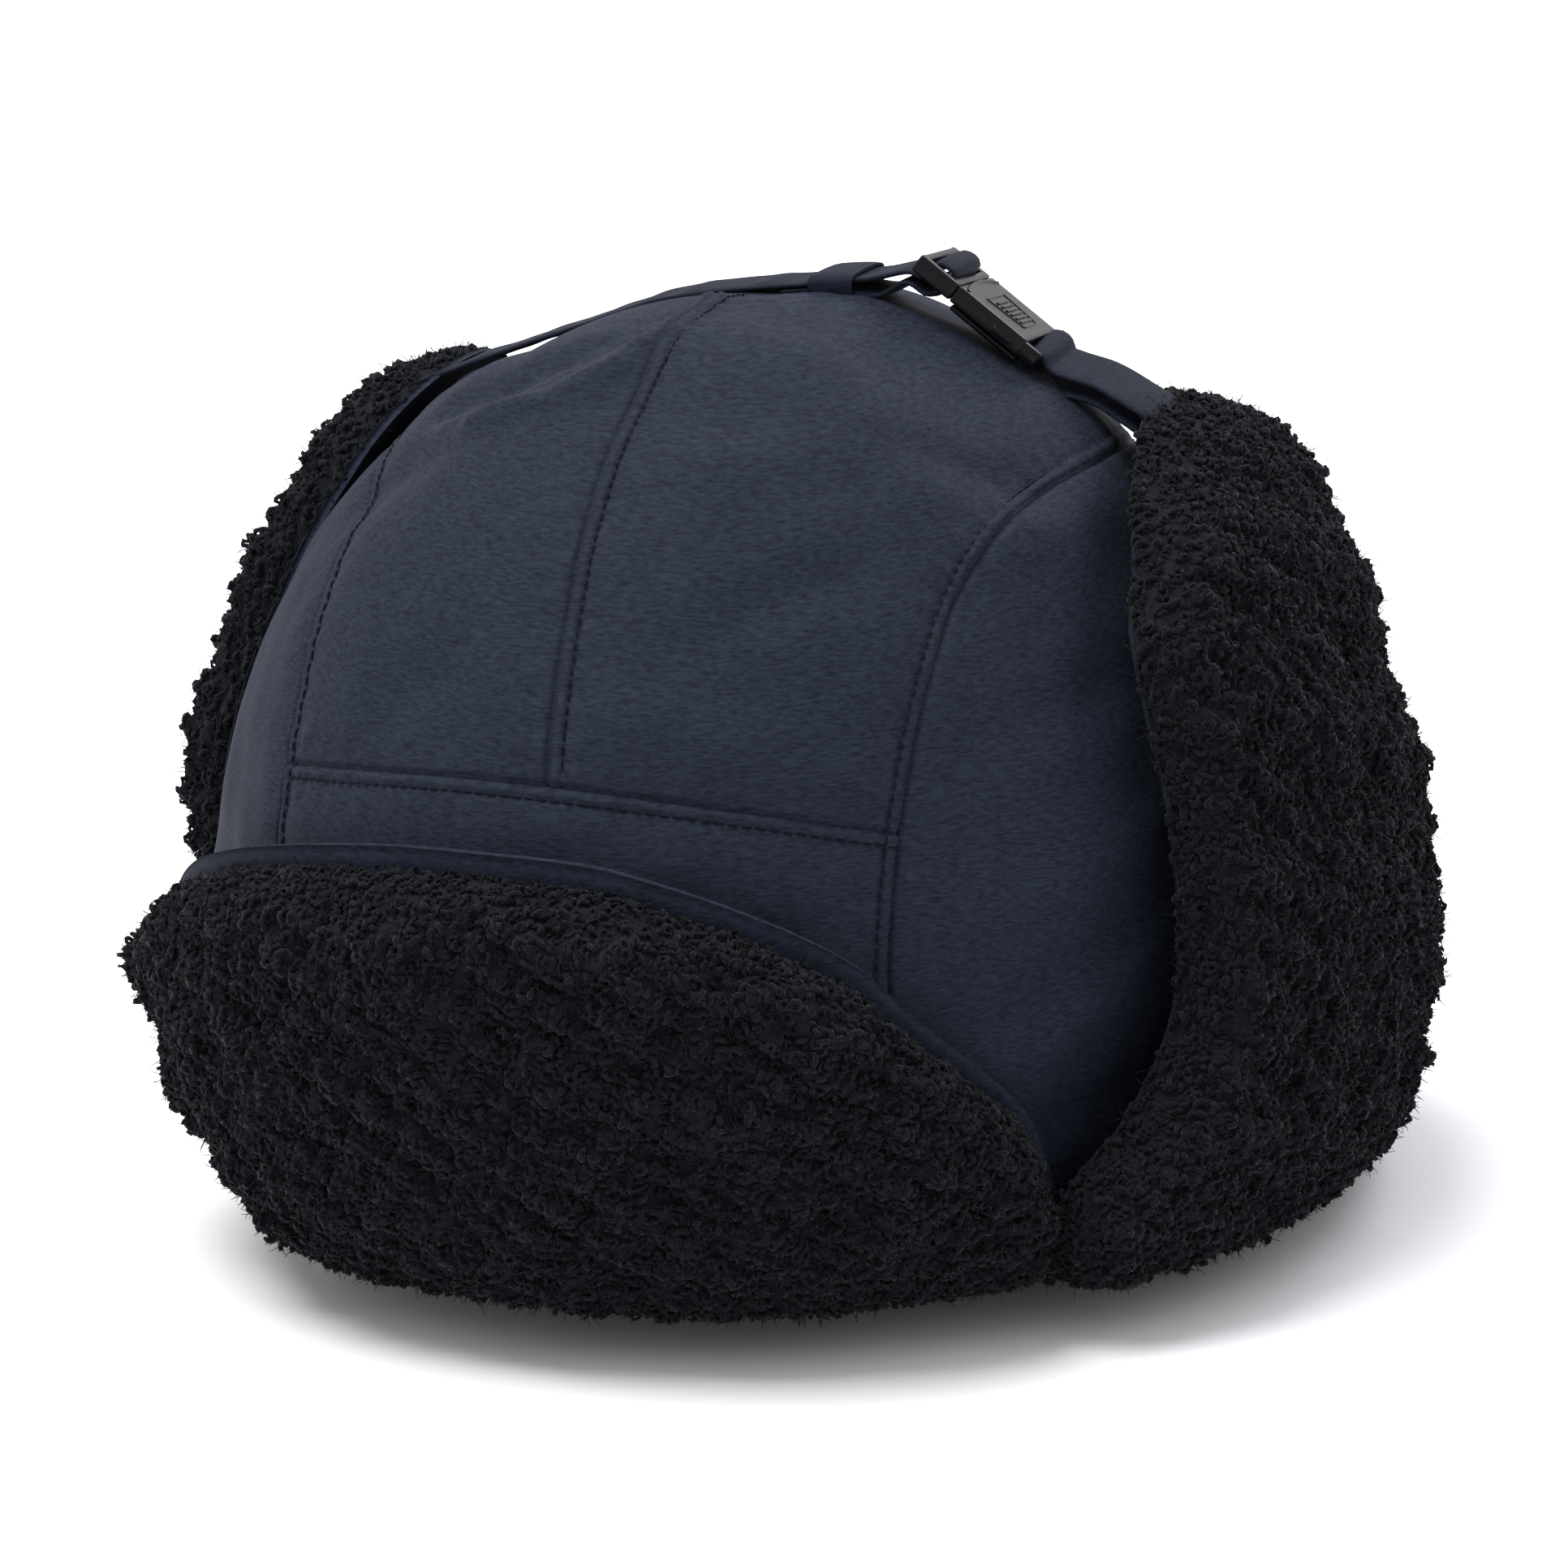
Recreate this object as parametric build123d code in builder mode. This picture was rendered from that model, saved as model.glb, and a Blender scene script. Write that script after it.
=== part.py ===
from build123d import *
import os
from math import cos, radians, sin, sqrt

os.makedirs("parts", exist_ok=True)

# Frame: the wearer looks along -Y, the wearer's left is +X, the hem lies in z = 0 and the origin is
# the middle of the head opening.

# ---- crown: a padded shell of five panels over wadding and lining ----
crown_half_length = 110.0
crown_half_width = 92.0
crown_height = 162.5
wall_height = 58.5
shell_thickness = 1.5
wadding_thickness = 3.0
lining_thickness = 1.0
side_seam_x = 57.0
front_band_height = 91.0
hem_turn = 2.0                       # how far the hem is turned up inside
sweatband_height = 32.0
sweatband_thickness = 1.8
label_width = 34.0
label_height = 20.0
label_thickness = 0.6
label_gap = 4.0                      # between the sweatband and the label

# ---- flaps: nylon facing towards the crown, curly pile outside ----
facing_thickness = 1.5
interlining_thickness = 1.0
pile_thickness = 13.0
hem_clearance = 0.6
end_clearance = 0.35                 # degrees taken off each end of a flap
front_flap_height = 86.0
front_flap_shift = -10.0             # the turned-up flap sits a little towards the wearer's right
front_flap_half_width = 89.0
front_flap_left_end = 56.0           # degrees round from the front
front_flap_right_end = 66.0
ear_flap_height = 138.0
ear_flap_back_end = 130.0
neck_flap_height = 88.0
neck_flap_rise = 14.0                # how much higher the neck flap is where it meets the ear flaps
front_lean = 12.0                    # how far the front flap's top stands out from the crown
front_standoff = 1.5
left_ear_standoff = 12.0
right_ear_standoff = 1.5
ear_top_flare = 3.0                  # extra stand-off at the ear flaps' tops
neck_standoff = 4.0
hem_standoff = 1.0                   # every flap starts this close to the crown at the hem
front_roundness = 0.45               # how much of the pile's thickness is left at the hem
back_roundness = 0.8
ear_foot_step = 6.0                  # the ear flaps start this far in front of the front flap's end
foot_height = 20.0                   # the ear and neck flaps have left the hem by this height
foot_gap_share = 0.7                 # and have this share of their stand-off there
flap_overrun = 1.02                  # a ring runs on past its flap's top by this ratio

# ---- strap and buckle over the top ----
strap_width = 15.0
strap_thickness = 2.4
strap_y = 10.0
strap_gap = 0.5                      # between webbing and whatever it passes
strap_bend = 12.0                    # radius of its bends
strap_rise = 3.8                     # height of its feet above the ear flaps' tops
strap_slack = 1.2                    # how far the strap stands off the crown's side
strap_shoulders = (-0.54, -0.28)     # its bends over the crown, as shares of the half width
strap_crest_ends = (-0.06, 0.22)     # its level run over the top, likewise
strap_dip = 1.4                      # how far it goes down to pass under the plug's frame
end_gap = 0.1                        # between the turned-over end and the frame's bars
end_thickness = 1.2
joint_share = 0.4                    # the buckle's joint line, as a share of the half width
buckle_to_foot = 31.5                # level distance from the buckle's joint line to a foot
buckle_width = 21.0
buckle_thickness = 5.0
buckle_clearance = 5.6               # from the crown to the underside of the buckle's joint line
buckle_slope = 36.0                  # degrees down towards the wearer's left
buckle_roll = 6.0                    # degrees down towards the back
buckle_wall = 1.0                    # top and bottom
buckle_side = 2.2
buckle_corner = 1.6
buckle_gap = 0.3                     # running clearance of the plug in its socket
frame_recess = 0.6                   # the plug's frame is this much thinner than the socket
plug_frame_length = 8.5
ladder_bar = 1.6
socket_length = 19.0
socket_depth = 14.0
tongue_length = 12.0
tongue_width = 5.0
tongue_thickness = 1.6
latch_length = 13.0
latch_thickness = 1.8
latch_head_length = 4.5
latch_recess = 0.4                   # how far the latch heads lie inside the buckle's sides
keeper_share = 0.185                 # the keeper's end, as a share of the half width
keeper_width = 9.0
keeper_thickness = 0.8
keeper_clearance = 0.4               # between the keeper and the crown

width_ratio = crown_half_width / crown_half_length
far = 3.0 * crown_half_length


def crown_radius(height):
    """Outer radius of the crown at this height, along the hat's length."""
    rise = max(height - wall_height, 0.0) / (crown_height - wall_height)
    return crown_half_length * sqrt(max(1.0 - rise * rise, 0.0))


def crown_top(x, y):
    """Height of the crown's outer surface above a point of the plan."""
    share = (x / crown_half_width) ** 2 + (y / crown_half_length) ** 2
    return wall_height + (crown_height - wall_height) * sqrt(1.0 - share)


def dome(inset):
    """The solid inside the crown's outer surface, taken in by inset, and run on below the hem."""
    radius = crown_half_length - inset
    with BuildPart() as solid:
        with BuildSketch(Plane.XZ):
            with BuildLine():
                Line((0, -hem_turn), (radius, -hem_turn))
                Line((radius, -hem_turn), (radius, wall_height))
                cap_height = crown_height - wall_height - inset
                EllipticalCenterArc((0, wall_height), radius, cap_height, 0, arc_size=90)
                Line((0, crown_height - inset), (0, -hem_turn))
            make_face()
        revolve(axis=Axis.Z)
        scale(by=(width_ratio, 1, 1))
    return solid.part


def layer(outer_dome, inner_dome):
    """One layer of the crown's wall."""
    with BuildPart() as wall:
        add(outer_dome)
        add(inner_dome, mode=Mode.SUBTRACT)
    return wall.part


def block(x_range, y_range, z_range, mode):
    """A box between two corners, joined to the part that is being built."""
    size = [limits[1] - limits[0] for limits in (x_range, y_range, z_range)]
    middle = [(limits[1] + limits[0]) / 2 for limits in (x_range, y_range, z_range)]
    with Locations(tuple(middle)):
        Box(*size, mode=mode)


# ---- crown panels ----
shell_inside = dome(shell_thickness)
shell = layer(dome(0.0), shell_inside)

with BuildPart() as front_band:
    add(shell)
    block((-side_seam_x, side_seam_x), (-far, 0), (0, front_band_height), Mode.INTERSECT)
front_band.part.label = "front_band"
export_step(front_band.part, "parts/front_band.step")

with BuildPart() as crown_panel_left:
    add(shell)
    block((0, side_seam_x), (-far, far), (0, crown_height), Mode.INTERSECT)
    block((-far, far), (-far, 0), (0, front_band_height), Mode.SUBTRACT)
crown_panel_left.part.label = "crown_panel_left"
export_step(crown_panel_left.part, "parts/crown_panel_left.step")

with BuildPart() as side_panel_left:
    add(shell)
    block((side_seam_x, far), (-far, far), (0, crown_height), Mode.INTERSECT)
side_panel_left.part.label = "side_panel_left"
export_step(side_panel_left.part, "parts/side_panel_left.step")

for left_panel, name in (
    (crown_panel_left, "crown_panel_right"),
    (side_panel_left, "side_panel_right"),
):
    with BuildPart() as right_panel:
        add(mirror(left_panel.part, about=Plane.YZ, mode=Mode.PRIVATE))
    right_panel.part.label = name
    export_step(right_panel.part, f"parts/{name}.step")

# ---- wadding, lining, sweatband and label ----
wadding_inset = shell_thickness + wadding_thickness
lining_inset = wadding_inset + lining_thickness
wadding_inside = dome(wadding_inset)
lining_inside = dome(lining_inset)

with BuildPart() as crown_wadding:
    add(layer(shell_inside, wadding_inside))
    block((-far, far), (-far, far), (hem_turn, crown_height), Mode.INTERSECT)
crown_wadding.part.label = "crown_wadding"
export_step(crown_wadding.part, "parts/crown_wadding.step")

lining = layer(wadding_inside, lining_inside)
lining_spans = {
    "lining_centre": (-side_seam_x, side_seam_x),
    "lining_side_left": (side_seam_x, far),
    "lining_side_right": (-far, -side_seam_x),
}
for name, span in lining_spans.items():
    with BuildPart() as lining_panel:
        add(lining)
        block(span, (-far, far), (hem_turn / 2, crown_height), Mode.INTERSECT)
    lining_panel.part.label = name
    export_step(lining_panel.part, f"parts/{name}.step")

with BuildPart() as sweatband:
    add(layer(lining_inside, dome(lining_inset + sweatband_thickness)))
    block((-far, far), (-far, far), (hem_turn, hem_turn + sweatband_height), Mode.INTERSECT)
sweatband.part.label = "sweatband"
export_step(sweatband.part, "parts/sweatband.step")

label_bottom = hem_turn + sweatband_height + label_gap
with BuildPart() as size_label:
    add(layer(lining_inside, dome(lining_inset + label_thickness)))
    block(
        (-label_width / 2, label_width / 2),
        (0, far),
        (label_bottom, label_bottom + label_height),
        Mode.INTERSECT,
    )
size_label.part.label = "size_label"
export_step(size_label.part, "parts/size_label.step")


# ---- flaps ----
def ring(inner, outer, ratio):
    """An oval ring round the crown between two curves, each a list of (stand-off, height)."""
    inner_points = [(crown_radius(height) + off, height) for off, height in inner]
    outer_points = [(crown_radius(height) + off, height) for off, height in outer]
    with BuildPart() as solid:
        with BuildSketch(Plane.XZ):
            with BuildLine():
                Spline(*inner_points)
                Line(inner_points[-1], outer_points[-1])
                Spline(*outer_points)
                Line(outer_points[0], inner_points[0])
            make_face()
        revolve(axis=Axis.Z)
        scale(by=(ratio, 1, 1))
    return solid.part


def on_bearing(angle, reach):
    """A point of the plan, at an angle round from the front towards the wearer's left."""
    return (reach * sin(radians(angle)), -reach * cos(radians(angle)))


def wedge(start, end):
    """The upright sector between two bearings, each held in by the end clearance."""
    first = start + end_clearance
    last = end - end_clearance
    turns = [first + (last - first) * share for share in (0, 1 / 3, 2 / 3, 1)]
    with BuildPart() as solid:
        with BuildSketch():
            with BuildLine():
                Polyline((0, 0), *[on_bearing(angle, far) for angle in turns], close=True)
            make_face()
        extrude(amount=crown_height)
    return solid.part


def stack(gaps, heights, thicknesses, roundness):
    """The layers of one flap, from the crown outwards, as rings that share their faces."""
    middle = gaps[len(gaps) // 2] + sum(thicknesses) / 2
    ratio = (crown_half_width + middle) / (crown_half_length + middle)
    inner = list(zip(gaps, heights))
    rings = []
    off = 0.0
    for thickness in thicknesses:
        off += thickness
        outer = [(gap + off, height) for gap, height in zip(gaps, heights)]
        if thickness == pile_thickness:
            outer[0] = (outer[0][0] - thickness * (1 - roundness), heights[0])
        rings.append(ring(inner, outer, ratio))
        inner = outer
    return rings


def cut_flap(whole_ring, outline, sector, name):
    """One layer of a flap, cut from its ring, and written out."""
    with BuildPart() as flap_layer:
        add(whole_ring)
        add(outline, mode=Mode.INTERSECT)
        add(sector, mode=Mode.INTERSECT)
    flap_layer.part.label = name
    export_step(flap_layer.part, f"parts/{name}.step")


# front flap: a wide arch, seen from the front, given as shares of its half width and height
arch_shares = ((1.0, 0.0), (0.96, 0.48), (0.83, 0.70), (0.67, 0.86), (0.39, 0.965), (0.0, 1.0))
left_arch = [
    (front_flap_shift + across * front_flap_half_width, up * front_flap_height)
    for across, up in arch_shares
]
right_arch = [(2 * front_flap_shift - x, z) for x, z in reversed(left_arch[:-1])]
with BuildPart() as front_outline:
    with BuildSketch(Plane.XZ):
        with BuildLine():
            Spline(*left_arch, *right_arch)
            Line(right_arch[-1], left_arch[0])
        make_face()
    extrude(amount=far)

flap_bottom = hem_clearance
front_top = flap_overrun * front_flap_height
front_heights = (flap_bottom, 0.35 * front_flap_height, front_top)
front_gaps = (front_standoff, front_standoff + 0.25 * front_lean, front_standoff + front_lean)
front_layers = stack(
    front_gaps,
    front_heights,
    (facing_thickness, interlining_thickness, pile_thickness),
    front_roundness,
)
front_sector = wedge(-front_flap_right_end, front_flap_left_end)
for layer_ring, name in zip(
    front_layers, ("front_flap_facing", "front_flap_interlining", "front_flap_pile")
):
    cut_flap(layer_ring, front_outline.part, front_sector, name)


def ear_outline(front_foot):
    """Side view of an ear flap: steep front edge, broad top, easy slope to the neck."""
    top = ear_flap_height
    with BuildPart() as outline:
        with BuildSketch(Plane.YZ):
            with BuildLine():
                Line((far / 2, 0), (front_foot, 0))
                Spline(
                    (front_foot, 0),
                    (front_foot + 0.16 * top, 0.42 * top),
                    (front_foot + 0.28 * top, 0.82 * top),
                    (strap_y, top),
                    (strap_y + 0.3 * top, 0.92 * top),
                    (far / 2, 0.42 * top),
                    tangents=((0.5, 0.86), (0.86, -0.5)),
                )
                Line((far / 2, 0.42 * top), (far / 2, 0))
            make_face()
        extrude(amount=far, both=True)
    return outline.part


ear_top = flap_overrun * ear_flap_height
ear_heights = (flap_bottom, foot_height, wall_height, 0.72 * ear_flap_height, ear_top)
for side, standoff, front_end in (
    ("left", left_ear_standoff, front_flap_left_end),
    ("right", right_ear_standoff, front_flap_right_end),
):
    hem_gap = hem_standoff + 0.1 * standoff
    foot_gap = foot_gap_share * standoff
    gaps = (hem_gap, foot_gap, standoff, standoff, standoff + ear_top_flare)
    ear_layers = stack(gaps, ear_heights, (facing_thickness, pile_thickness), back_roundness)
    sector = wedge(front_end, ear_flap_back_end)
    foot = -crown_half_length * cos(radians(front_end)) - ear_foot_step
    outline = ear_outline(foot)
    for layer_ring, name in zip(ear_layers, (f"{side}_ear_flap_facing", f"{side}_ear_flap_pile")):
        if side == "left":
            cut_flap(layer_ring, outline, sector, name)
        else:
            cut_flap(layer_ring, outline, mirror(sector, about=Plane.YZ), name)

with BuildPart() as neck_outline:
    with BuildSketch(Plane.XZ):
        with BuildLine():
            corner = neck_flap_height + neck_flap_rise
            Line((-crown_half_length, 0), (crown_half_length, 0))
            Line((crown_half_length, 0), (crown_half_length, corner))
            middle = (0, neck_flap_height)
            ThreePointArc((crown_half_length, corner), middle, (-crown_half_length, corner))
            Line((-crown_half_length, corner), (-crown_half_length, 0))
        make_face()
    extrude(amount=-far)

neck_heights = (flap_bottom, foot_height, wall_height, neck_flap_height + neck_flap_rise)
neck_gaps = (hem_standoff, foot_gap_share * neck_standoff, neck_standoff, neck_standoff)
neck_layers = stack(neck_gaps, neck_heights, (facing_thickness, pile_thickness), back_roundness)
neck_sector = wedge(ear_flap_back_end, 360.0 - ear_flap_back_end)
for layer_ring, name in zip(neck_layers, ("neck_flap_facing", "neck_flap_pile")):
    cut_flap(layer_ring, neck_outline.part, neck_sector, name)

# ---- buckle: local x runs from plug to socket, local z is the top face's normal ----
slope = radians(buckle_slope)
roll = radians(buckle_roll)
joint_x = joint_share * crown_half_width
joint_z = crown_top(joint_x, strap_y) + buckle_thickness + buckle_clearance
buckle_plane = Plane(
    origin=(joint_x, strap_y, joint_z),
    x_dir=(cos(slope), 0, -sin(slope)),
    z_dir=(sin(slope) * cos(roll), sin(roll), cos(slope) * cos(roll)),
)
half_width = buckle_width / 2
cavity_half_width = half_width - buckle_side
cavity_top = -buckle_wall
cavity_bottom = -buckle_thickness + buckle_wall
middle_height = (cavity_top + cavity_bottom) / 2
frame_underside = -buckle_thickness + frame_recess
slot_width = (-strap_width / 2 - strap_gap, strap_width / 2 + strap_gap)

with BuildPart(buckle_plane) as buckle_socket:
    block((0, socket_length), (-half_width, half_width), (-buckle_thickness, 0), Mode.ADD)
    upright_edges = buckle_socket.edges().filter_by(Axis(buckle_plane.origin, buckle_plane.z_dir))
    fillet(upright_edges, radius=buckle_corner)
    cavity = (cavity_bottom, cavity_top)
    block((0, socket_depth), (-cavity_half_width, cavity_half_width), cavity, Mode.SUBTRACT)
    window_start = latch_length - latch_head_length - buckle_gap
    block((window_start, socket_depth), (-half_width, half_width), cavity, Mode.SUBTRACT)
    bar_start = socket_length - ladder_bar
    slot_start = socket_depth + buckle_wall
    block((slot_start, bar_start), slot_width, (-buckle_thickness, 0), Mode.SUBTRACT)
buckle_socket.part.label = "buckle_socket"
export_step(buckle_socket.part, "parts/buckle_socket.step")

with BuildPart(buckle_plane) as buckle_plug:
    frame_start = -plug_frame_length
    frame_end = -buckle_gap
    block((frame_start, frame_end), (-half_width, half_width), (frame_underside, 0), Mode.ADD)
    slot_length = (plug_frame_length - 3 * ladder_bar - buckle_gap) / 2
    for slot_number in range(2):
        start = frame_start + ladder_bar + slot_number * (slot_length + ladder_bar)
        slot_span = (start, start + slot_length)
        block(slot_span, slot_width, (-buckle_thickness, 0), Mode.SUBTRACT)
    tongue_span = (middle_height - tongue_thickness / 2, middle_height + tongue_thickness / 2)
    block((frame_end, tongue_length), (-tongue_width / 2, tongue_width / 2), tongue_span, Mode.ADD)
buckle_plug.part.label = "buckle_plug"
export_step(buckle_plug.part, "parts/buckle_plug.step")

arm_outer = cavity_half_width - buckle_gap
arm_inner = arm_outer - latch_thickness
arm_span = (cavity_bottom + buckle_gap, cavity_top - buckle_gap)
for side, name in ((-1, "buckle_latch_front"), (1, "buckle_latch_back")):
    with BuildPart(buckle_plane) as latch:
        block((0, latch_length), sorted((side * arm_inner, side * arm_outer)), arm_span, Mode.ADD)
        head_start = latch_length - latch_head_length
        head_edges = sorted((side * arm_outer, side * (half_width - latch_recess)))
        block((head_start, latch_length), head_edges, arm_span, Mode.ADD)
    latch.part.label = name
    export_step(latch.part, f"parts/{name}.step")


# ---- straps ----
def ribbon(points, thickness, bend, name):
    """Webbing that runs over the crown through these (x, z) points."""
    route = FilletPolyline(*[(x, strap_y, z) for x, z in points], radius=bend)
    with BuildPart() as strap:
        with BuildSketch(Plane(origin=route @ 0, x_dir=(0, 1, 0), z_dir=route % 0)):
            Rectangle(strap_width, thickness)
        sweep(path=route)
    strap.part.label = name
    export_step(strap.part, f"parts/{name}.step")


ride_height = strap_thickness / 2 + strap_gap + keeper_thickness + keeper_clearance
strap_crest = crown_height + ride_height
strap_foot_z = ear_flap_height + strap_rise
left_foot_x = joint_x + buckle_to_foot
right_foot_x = -left_foot_x
frame_front = buckle_plane.from_local_coords(Vector(-plug_frame_length, 0, -buckle_thickness))

shoulder_x = [share * crown_half_width for share in strap_shoulders]
shoulders = [(x, crown_top(x, strap_y) + ride_height + strap_slack) for x in shoulder_x]
right_points = (
    (right_foot_x, strap_foot_z - strap_gap),
    *shoulders,
    *[(share * crown_half_width, strap_crest) for share in strap_crest_ends],
    (frame_front.X - 2 * strap_gap, frame_front.Z - strap_dip),
)
ribbon(right_points, strap_thickness, strap_bend, "right_strap")

keeper_end = keeper_share * crown_half_width
with BuildPart() as strap_keeper:
    keeper_x = (keeper_end - keeper_width, keeper_end)
    inner_half = strap_width / 2 + strap_gap
    outer_half = inner_half + keeper_thickness
    inner_z = strap_thickness / 2 + strap_gap
    outer_z = inner_z + keeper_thickness
    block(
        keeper_x,
        (strap_y - outer_half, strap_y + outer_half),
        (strap_crest - outer_z, strap_crest + outer_z),
        Mode.ADD,
    )
    block(
        keeper_x,
        (strap_y - inner_half, strap_y + inner_half),
        (strap_crest - inner_z, strap_crest + inner_z),
        Mode.SUBTRACT,
    )
strap_keeper.part.label = "strap_keeper"
export_step(strap_keeper.part, "parts/strap_keeper.step")

# the strap's end comes up through the plug's frame, turns over its middle bar and goes back down
with BuildPart(buckle_plane) as strap_end:
    first_slot = frame_start + ladder_bar
    middle_bar_start = first_slot + slot_length
    tab_half = strap_width / 2
    loop_top = strap_thickness / 2 + 2 * end_gap
    leg = slot_length - 2 * end_gap
    second_slot = middle_bar_start + ladder_bar
    leg_starts = (first_slot + end_gap, second_slot + end_gap)
    for leg_start in leg_starts:
        leg_span = (leg_start, leg_start + leg)
        block(leg_span, (-tab_half, tab_half), (frame_underside, loop_top), Mode.ADD)
    loop_span = (leg_starts[0], leg_starts[1] + leg)
    loop_height = (end_gap, end_gap + end_thickness + strap_thickness / 2)
    block(loop_span, (-tab_half, tab_half), loop_height, Mode.ADD)
strap_end.part.label = "strap_end"
export_step(strap_end.part, "parts/strap_end.step")

strap_start = socket_length + 2 * strap_gap
bar_middle = buckle_plane.from_local_coords(Vector(strap_start, 0, -buckle_thickness / 2))
with BuildPart() as left_strap:
    run = Line((bar_middle.X, strap_y, bar_middle.Z), (left_foot_x, strap_y, strap_foot_z))
    with BuildSketch(Plane(origin=run @ 0, x_dir=(0, 1, 0), z_dir=run % 0)):
        Rectangle(strap_width, 2 * strap_thickness)
    sweep(path=run)
left_strap.part.label = "left_strap"
export_step(left_strap.part, "parts/left_strap.step")

print("buckle origin", buckle_plane.origin, "axis", buckle_plane.x_dir, "normal", buckle_plane.z_dir)
print("strap feet", left_foot_x, right_foot_x, strap_foot_z, "crest", strap_crest)
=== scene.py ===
# %% [markdown]
# # A trapper hat
# The hat is a padded nylon crown with turned-up flaps of curly pile cloth, held over the top by a
# strap with a plastic side-release buckle. The CAD model gives every body, box and joint; this
# script sews the cloth round it.

# %% Load the frame
import math

import bpy
import numpy as np
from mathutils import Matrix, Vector


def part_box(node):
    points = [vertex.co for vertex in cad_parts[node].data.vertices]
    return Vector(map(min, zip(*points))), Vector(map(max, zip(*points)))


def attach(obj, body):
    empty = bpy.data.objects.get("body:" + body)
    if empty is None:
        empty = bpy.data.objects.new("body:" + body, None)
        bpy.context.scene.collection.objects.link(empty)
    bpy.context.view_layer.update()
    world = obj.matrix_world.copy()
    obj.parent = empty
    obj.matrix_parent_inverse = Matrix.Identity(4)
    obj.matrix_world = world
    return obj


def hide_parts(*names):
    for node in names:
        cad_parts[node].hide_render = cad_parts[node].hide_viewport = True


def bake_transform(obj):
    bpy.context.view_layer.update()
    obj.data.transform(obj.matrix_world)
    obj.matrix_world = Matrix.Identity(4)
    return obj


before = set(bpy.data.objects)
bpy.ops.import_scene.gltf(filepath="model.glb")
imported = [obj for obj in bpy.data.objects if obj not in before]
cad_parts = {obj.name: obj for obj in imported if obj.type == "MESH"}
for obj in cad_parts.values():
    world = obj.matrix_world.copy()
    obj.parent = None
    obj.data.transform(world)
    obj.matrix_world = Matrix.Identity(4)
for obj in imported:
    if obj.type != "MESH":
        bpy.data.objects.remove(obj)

MM = 0.001
rng = np.random.default_rng(7)
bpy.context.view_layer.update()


# %% [markdown]
# ## Sizes of the crown
# The crown is an upright wall with half an ellipsoid on it. Its length, width and height come from
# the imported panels. The wall's height is a pattern size, as in the CAD model. All the shapes below
# are worked out in millimetres and turned to metres when a mesh is made.

# %% Crown sizes
HALF_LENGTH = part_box("crown_panel_left")[1][1] / MM
HALF_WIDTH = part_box("side_panel_left")[1][0] / MM
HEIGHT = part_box("crown_panel_left")[1][2] / MM
SEAM_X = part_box("side_panel_left")[0][0] / MM
BAND_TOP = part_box("front_band")[1][2] / MM
WALL = 58.5                # height of the upright part
CAP = HEIGHT - WALL
PUFF = 1.1                 # how far the padded cloth stands out between seams
STRAP_Y = 10.0             # the strap runs over the hat a little behind the middle
STRAP_OVER = (             # the right strap's centre line over the crown, as (x, z)
    (-80, 122), (-76, 130), (-70, 138.5), (-60, 143), (-45, 148.9), (-34, 153), (-21.5, 157.7),
    (-12, 159.8), (-3, 161.2), (5, 162.2), (12, 163.2), (19, 164.2),
)
print("crown", HALF_LENGTH, HALF_WIDTH, HEIGHT, "side seam", SEAM_X, "band", BAND_TOP)


# %% [markdown]
# ## Colour and nodes
# Colours are written as the hex values a designer would pick and turned to linear light by one
# function. One small function adds a node with its settings and links.

# %% Material helpers
def linear(hex_colour):
    """sRGB hex to linear RGBA."""
    parts = [int(hex_colour[i : i + 2], 16) / 255 for i in (1, 3, 5)]
    return [c / 12.92 if c <= 0.04045 else ((c + 0.055) / 1.055) ** 2.4 for c in parts] + [1.0]


def add_node(tree, kind, inputs=None, **settings):
    """Add one node; inputs hold values or sockets for its input sockets."""
    node = tree.nodes.new(kind)
    for name, value in settings.items():
        setattr(node, name, value)
    for name, value in (inputs or {}).items():
        socket = node.inputs[name]
        if isinstance(value, bpy.types.NodeSocket):
            tree.links.new(value, socket)
        else:
            socket.default_value = value
    return node


def new_material(name):
    """An empty node material with its tree and shader, ready for a finish."""
    material = bpy.data.materials.new(name)
    material.use_nodes = True
    tree = material.node_tree
    return material, tree, tree.nodes["Principled BSDF"]


def speckled(tree, shader, low, high, scale, stretch=(1, 1, 1), coordinate="Object"):
    """Base colour that varies between two hex values in a fine noise."""
    place = add_node(tree, "ShaderNodeTexCoord")
    mapping = add_node(tree, "ShaderNodeMapping", {"Vector": place.outputs[coordinate]})
    mapping.inputs["Scale"].default_value = stretch
    noise_inputs = {"Vector": mapping.outputs[0], "Scale": scale, "Detail": 3.0, "Roughness": 0.6}
    noise = add_node(tree, "ShaderNodeTexNoise", noise_inputs)
    spread_inputs = {"Value": noise.outputs["Fac"], "From Min": 0.3, "From Max": 0.7}
    spread = add_node(tree, "ShaderNodeMapRange", spread_inputs)
    mix = add_node(tree, "ShaderNodeMix", {"Factor": spread.outputs[0]}, data_type="RGBA")
    mix.inputs[6].default_value = linear(low)
    mix.inputs[7].default_value = linear(high)
    tree.links.new(mix.outputs[2], shader.inputs["Base Color"])
    return mapping, noise


def bumped(tree, shader, height, distance, strength):
    """Surface relief from a height socket; distance is the real height in metres."""
    bump = add_node(
        tree, "ShaderNodeBump", {"Height": height, "Distance": distance, "Strength": strength}
    )
    tree.links.new(bump.outputs[0], shader.inputs["Normal"])


# %% [markdown]
# ## Crown nylon
# A matt, slightly slubby nylon: yarns of uneven thickness run both ways, about 0.5 mm apart, so the
# cloth shows a faint cross-grained mottle and no gloss.

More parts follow.
